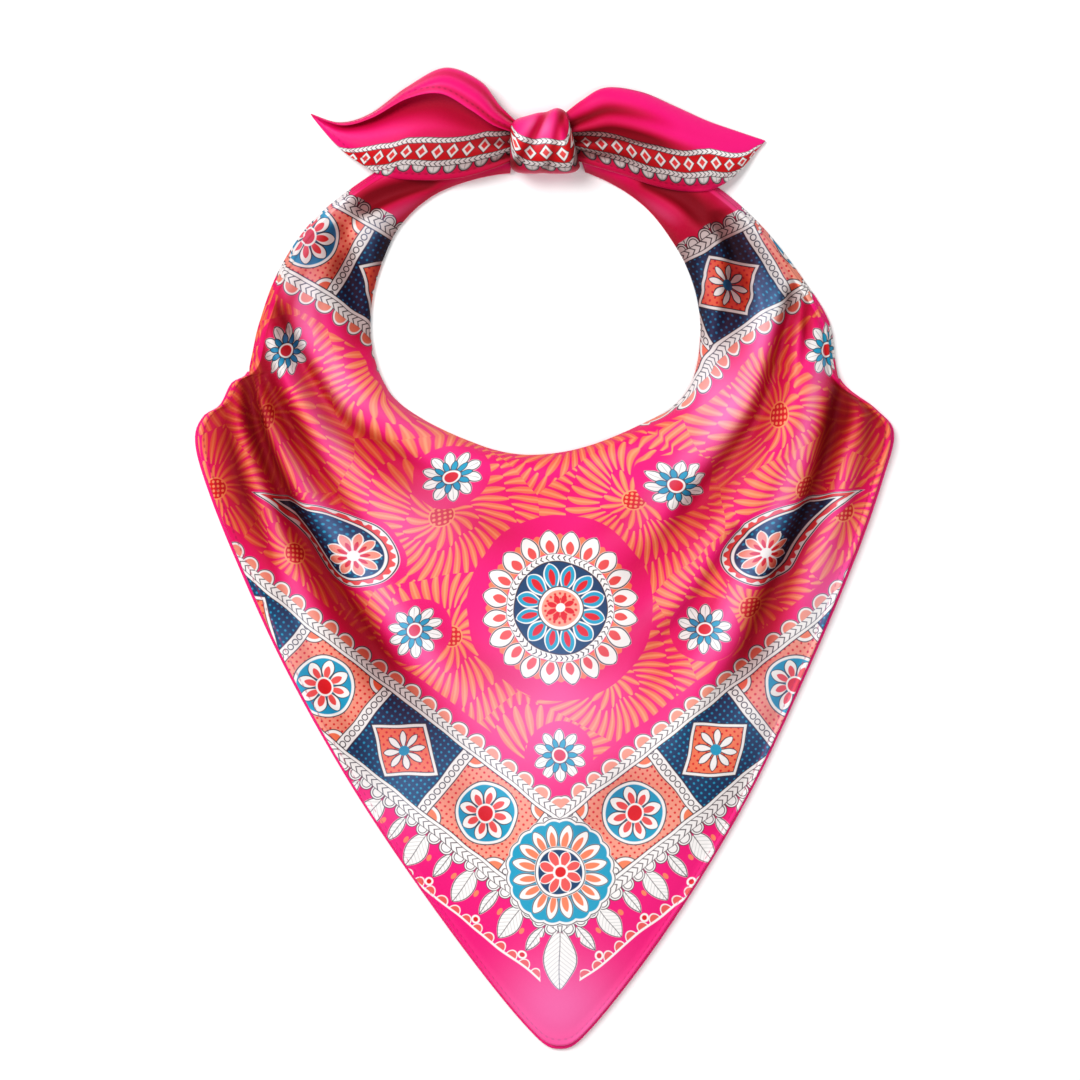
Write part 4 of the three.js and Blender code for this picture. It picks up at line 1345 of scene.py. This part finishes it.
def drawTwill(x, y):
    # fine diagonal ribs, over yarn that is not quite even
    uneven = noise("Fac", x, y, 0.9)
    ribs = ((x + y) * (2 * math.pi / 0.72)).sin()
    return ribs * 0.5 + uneven * 1.4, uneven


def makeGroup(name, inputs, outputs, draw):
    tree = bpy.data.node_groups.new(name, "ShaderNodeTree")
    for way, labels in (("INPUT", inputs), ("OUTPUT", outputs)):
        for label in labels:
            kind = "NodeSocketColor" if label == "Colour" else "NodeSocketFloat"
            tree.interface.new_socket(label, in_out=way, socket_type=kind)
    source = tree.nodes.new("NodeGroupInput")
    result = tree.nodes.new("NodeGroupOutput")
    wires = draw(*[Wire(tree, socket) for socket in source.outputs[: len(inputs)]])
    for socket, wire in zip(result.inputs, wires):
        feed(socket, wire)
    return tree


place = ("Across", "Up")
groups = {}
for name, inputs, outputs, draw in (
    ("bloomField", place, ["Colour"], drawBloomField),
    ("medallion", place, ["Colour", "Cover"], drawMedallion),
    ("rosette", place, ["Colour", "Cover"], drawRosette),
    ("paisley", place, ["Colour", "Cover"], drawPaisley),
    ("printedBorder", place, ["Colour", "Cover"], drawBorder),
    ("cornerRose", place, ["Colour", "Cover"], drawCornerRose),
    ("tailBorder", place, ["Colour"], drawTailBorder),
    ("scarfPrint", place, ["Colour"], drawScarfPrint),
    ("handDrawn", (*place, "Sway"), (*place, "Tone"), drawHandDrawn),
    ("hemStitches", ["Along", "Inward"], ["Thread", "Groove"], drawHemStitches),
    ("paintedFoldLight", ["Colour", "Depth", "Painted Highlight"], ["Colour"], drawPaintedFoldLight),
    ("silkTwill", place, ["Height", "Uneven"], drawTwill),
):
    groups[name] = makeGroup(name, inputs, outputs, draw)
print("print drawn")

silkShader = {
    "Specular IOR Level": 0.26,
    "Specular Tint": (1, 0.42, 0.62, 1),
    "Sheen Weight": 0.02,
    "Sheen Roughness": 0.35,
    "Sheen Tint": (1, 0.6, 0.8, 1),
}


def makeSilk(name, printed, gloss):
    material = bpy.data.materials.new(name)
    material.use_nodes = True
    tree = material.node_tree
    shader = tree.nodes["Principled BSDF"]

    def placeOn(label):
        # across and up on one of the piece's own maps, in mm
        source = newNode(tree, "UVMap", uv_map=label)
        return [wire * 1000 for wire in parts("SeparateXYZ", Wire(tree, source.outputs[0]))[:2]]

    def painted(label):
        return Wire(tree, newNode(tree, "Attribute", attribute_name=label).outputs["Fac"])

    x, y = placeOn("cloth")
    drawnX, drawnY, tone = useGroup("handDrawn", x, y, 1.6)
    if printed:
        colour = useGroup(printed, drawnX, drawnY)[0]
    else:
        colour = over(tone, "pink", "deepPink")
    thread, groove = useGroup("hemStitches", *placeOn("hem"))
    # painted shade and painted highlight, stored on the points, darken or pale the colour
    paintedShade = painted("paintedShade")
    colour = useGroup("paintedFoldLight", over(thread, "thread", colour), paintedShade, painted("crest"))[0]
    height, uneven = useGroup("silkTwill", x, y)
    bump = newNode(tree, "Bump")
    bump.inputs["Strength"].default_value = 0.22
    bump.inputs["Distance"].default_value = 0.00012
    feed(bump.inputs["Height"], height - groove * 1.5)
    feed(shader.inputs["Base Color"], colour)
    feed(shader.inputs["Normal"], Wire(tree, bump.outputs[0]))
    feed(shader.inputs["Roughness"], gloss + (tone - 0.5) * 0.16 + (uneven - 0.5) * 0.08 + paintedShade * 0.3)
    for label, value in silkShader.items():
        shader.inputs[label].default_value = value
    return material


for silk, pieces in (
    (makeSilk("printedSilk", "scarfPrint", 0.4), [front]),
    (makeSilk("tailSilk", "tailBorder", 0.38), [tailLeft, tailRight, wrap]),
    (makeSilk("plainSilk", None, 0.42), [under]),
):
    for piece in pieces:
        piece.data.materials.append(silk)
print("silk ready")

# stage, light and camera
studio = {
    "floor": (0.97, 0.97, 0.97),
    "floorHalf": 6,
    "room": 0.3,
    "photoMiddle": (-1.89, 7.82),
    "photoWidth": 453.6,
    "cameraHeight": 3.0,
    "clothHeight": 0.008,
    "sensor": 36,
    # place, size and power
    "lights": {
        "key": ((-0.85, 0.8, 1.5), 0.9, 30),
        "top": ((0.3, -0.25, 2.2), 0.8, 12),
        "fill": ((1.3, -0.9, 1.1), 0.9, 4),
    },
}
bm = bmesh.new()
bmesh.ops.create_grid(bm, x_segments=1, y_segments=1, size=studio["floorHalf"])
floor = bpy.data.objects.new("floor", meshFrom("floor", bm))
bpy.context.collection.objects.link(floor)
floorPaint = bpy.data.materials.new("floorPaint")
floorPaint.use_nodes = True
floorShader = floorPaint.node_tree.nodes["Principled BSDF"]
floorShader.inputs["Base Color"].default_value = (*studio["floor"], 1)
floorShader.inputs["Roughness"].default_value = 0.9
floorShader.inputs["Specular IOR Level"].default_value = 0.1
floor.data.materials.append(floorPaint)

for name, (place, size, power) in studio["lights"].items():
    data = bpy.data.lights.new(name, "AREA")
    data.size = size
    data.energy = power
    light = bpy.data.objects.new(name, data)
    light.location = place
    light.rotation_mode = "QUATERNION"
    light.rotation_quaternion = (Vector((0, 0, 0)) - Vector(place)).to_track_quat("-Z", "Y")
    bpy.context.collection.objects.link(light)

world = bpy.data.worlds.new("room")
world.use_nodes = True
world.node_tree.nodes["Background"].inputs["Color"].default_value = (1, 1, 1, 1)
world.node_tree.nodes["Background"].inputs["Strength"].default_value = studio["room"]
bpy.context.scene.world = world
bpy.context.scene.view_settings.view_transform = "Standard"

camera = bpy.data.objects.new("camera", bpy.data.cameras.new("camera"))
camera.data.sensor_width = studio["sensor"]
away = studio["cameraHeight"] - studio["clothHeight"]
camera.data.lens = studio["sensor"] * away / (studio["photoWidth"] * mm)
camera.location = (studio["photoMiddle"][0] * mm, studio["photoMiddle"][1] * mm, studio["cameraHeight"])
camera.data.clip_end = 20
bpy.context.collection.objects.link(camera)
bpy.context.scene.camera = camera
print("stage, light and camera set")
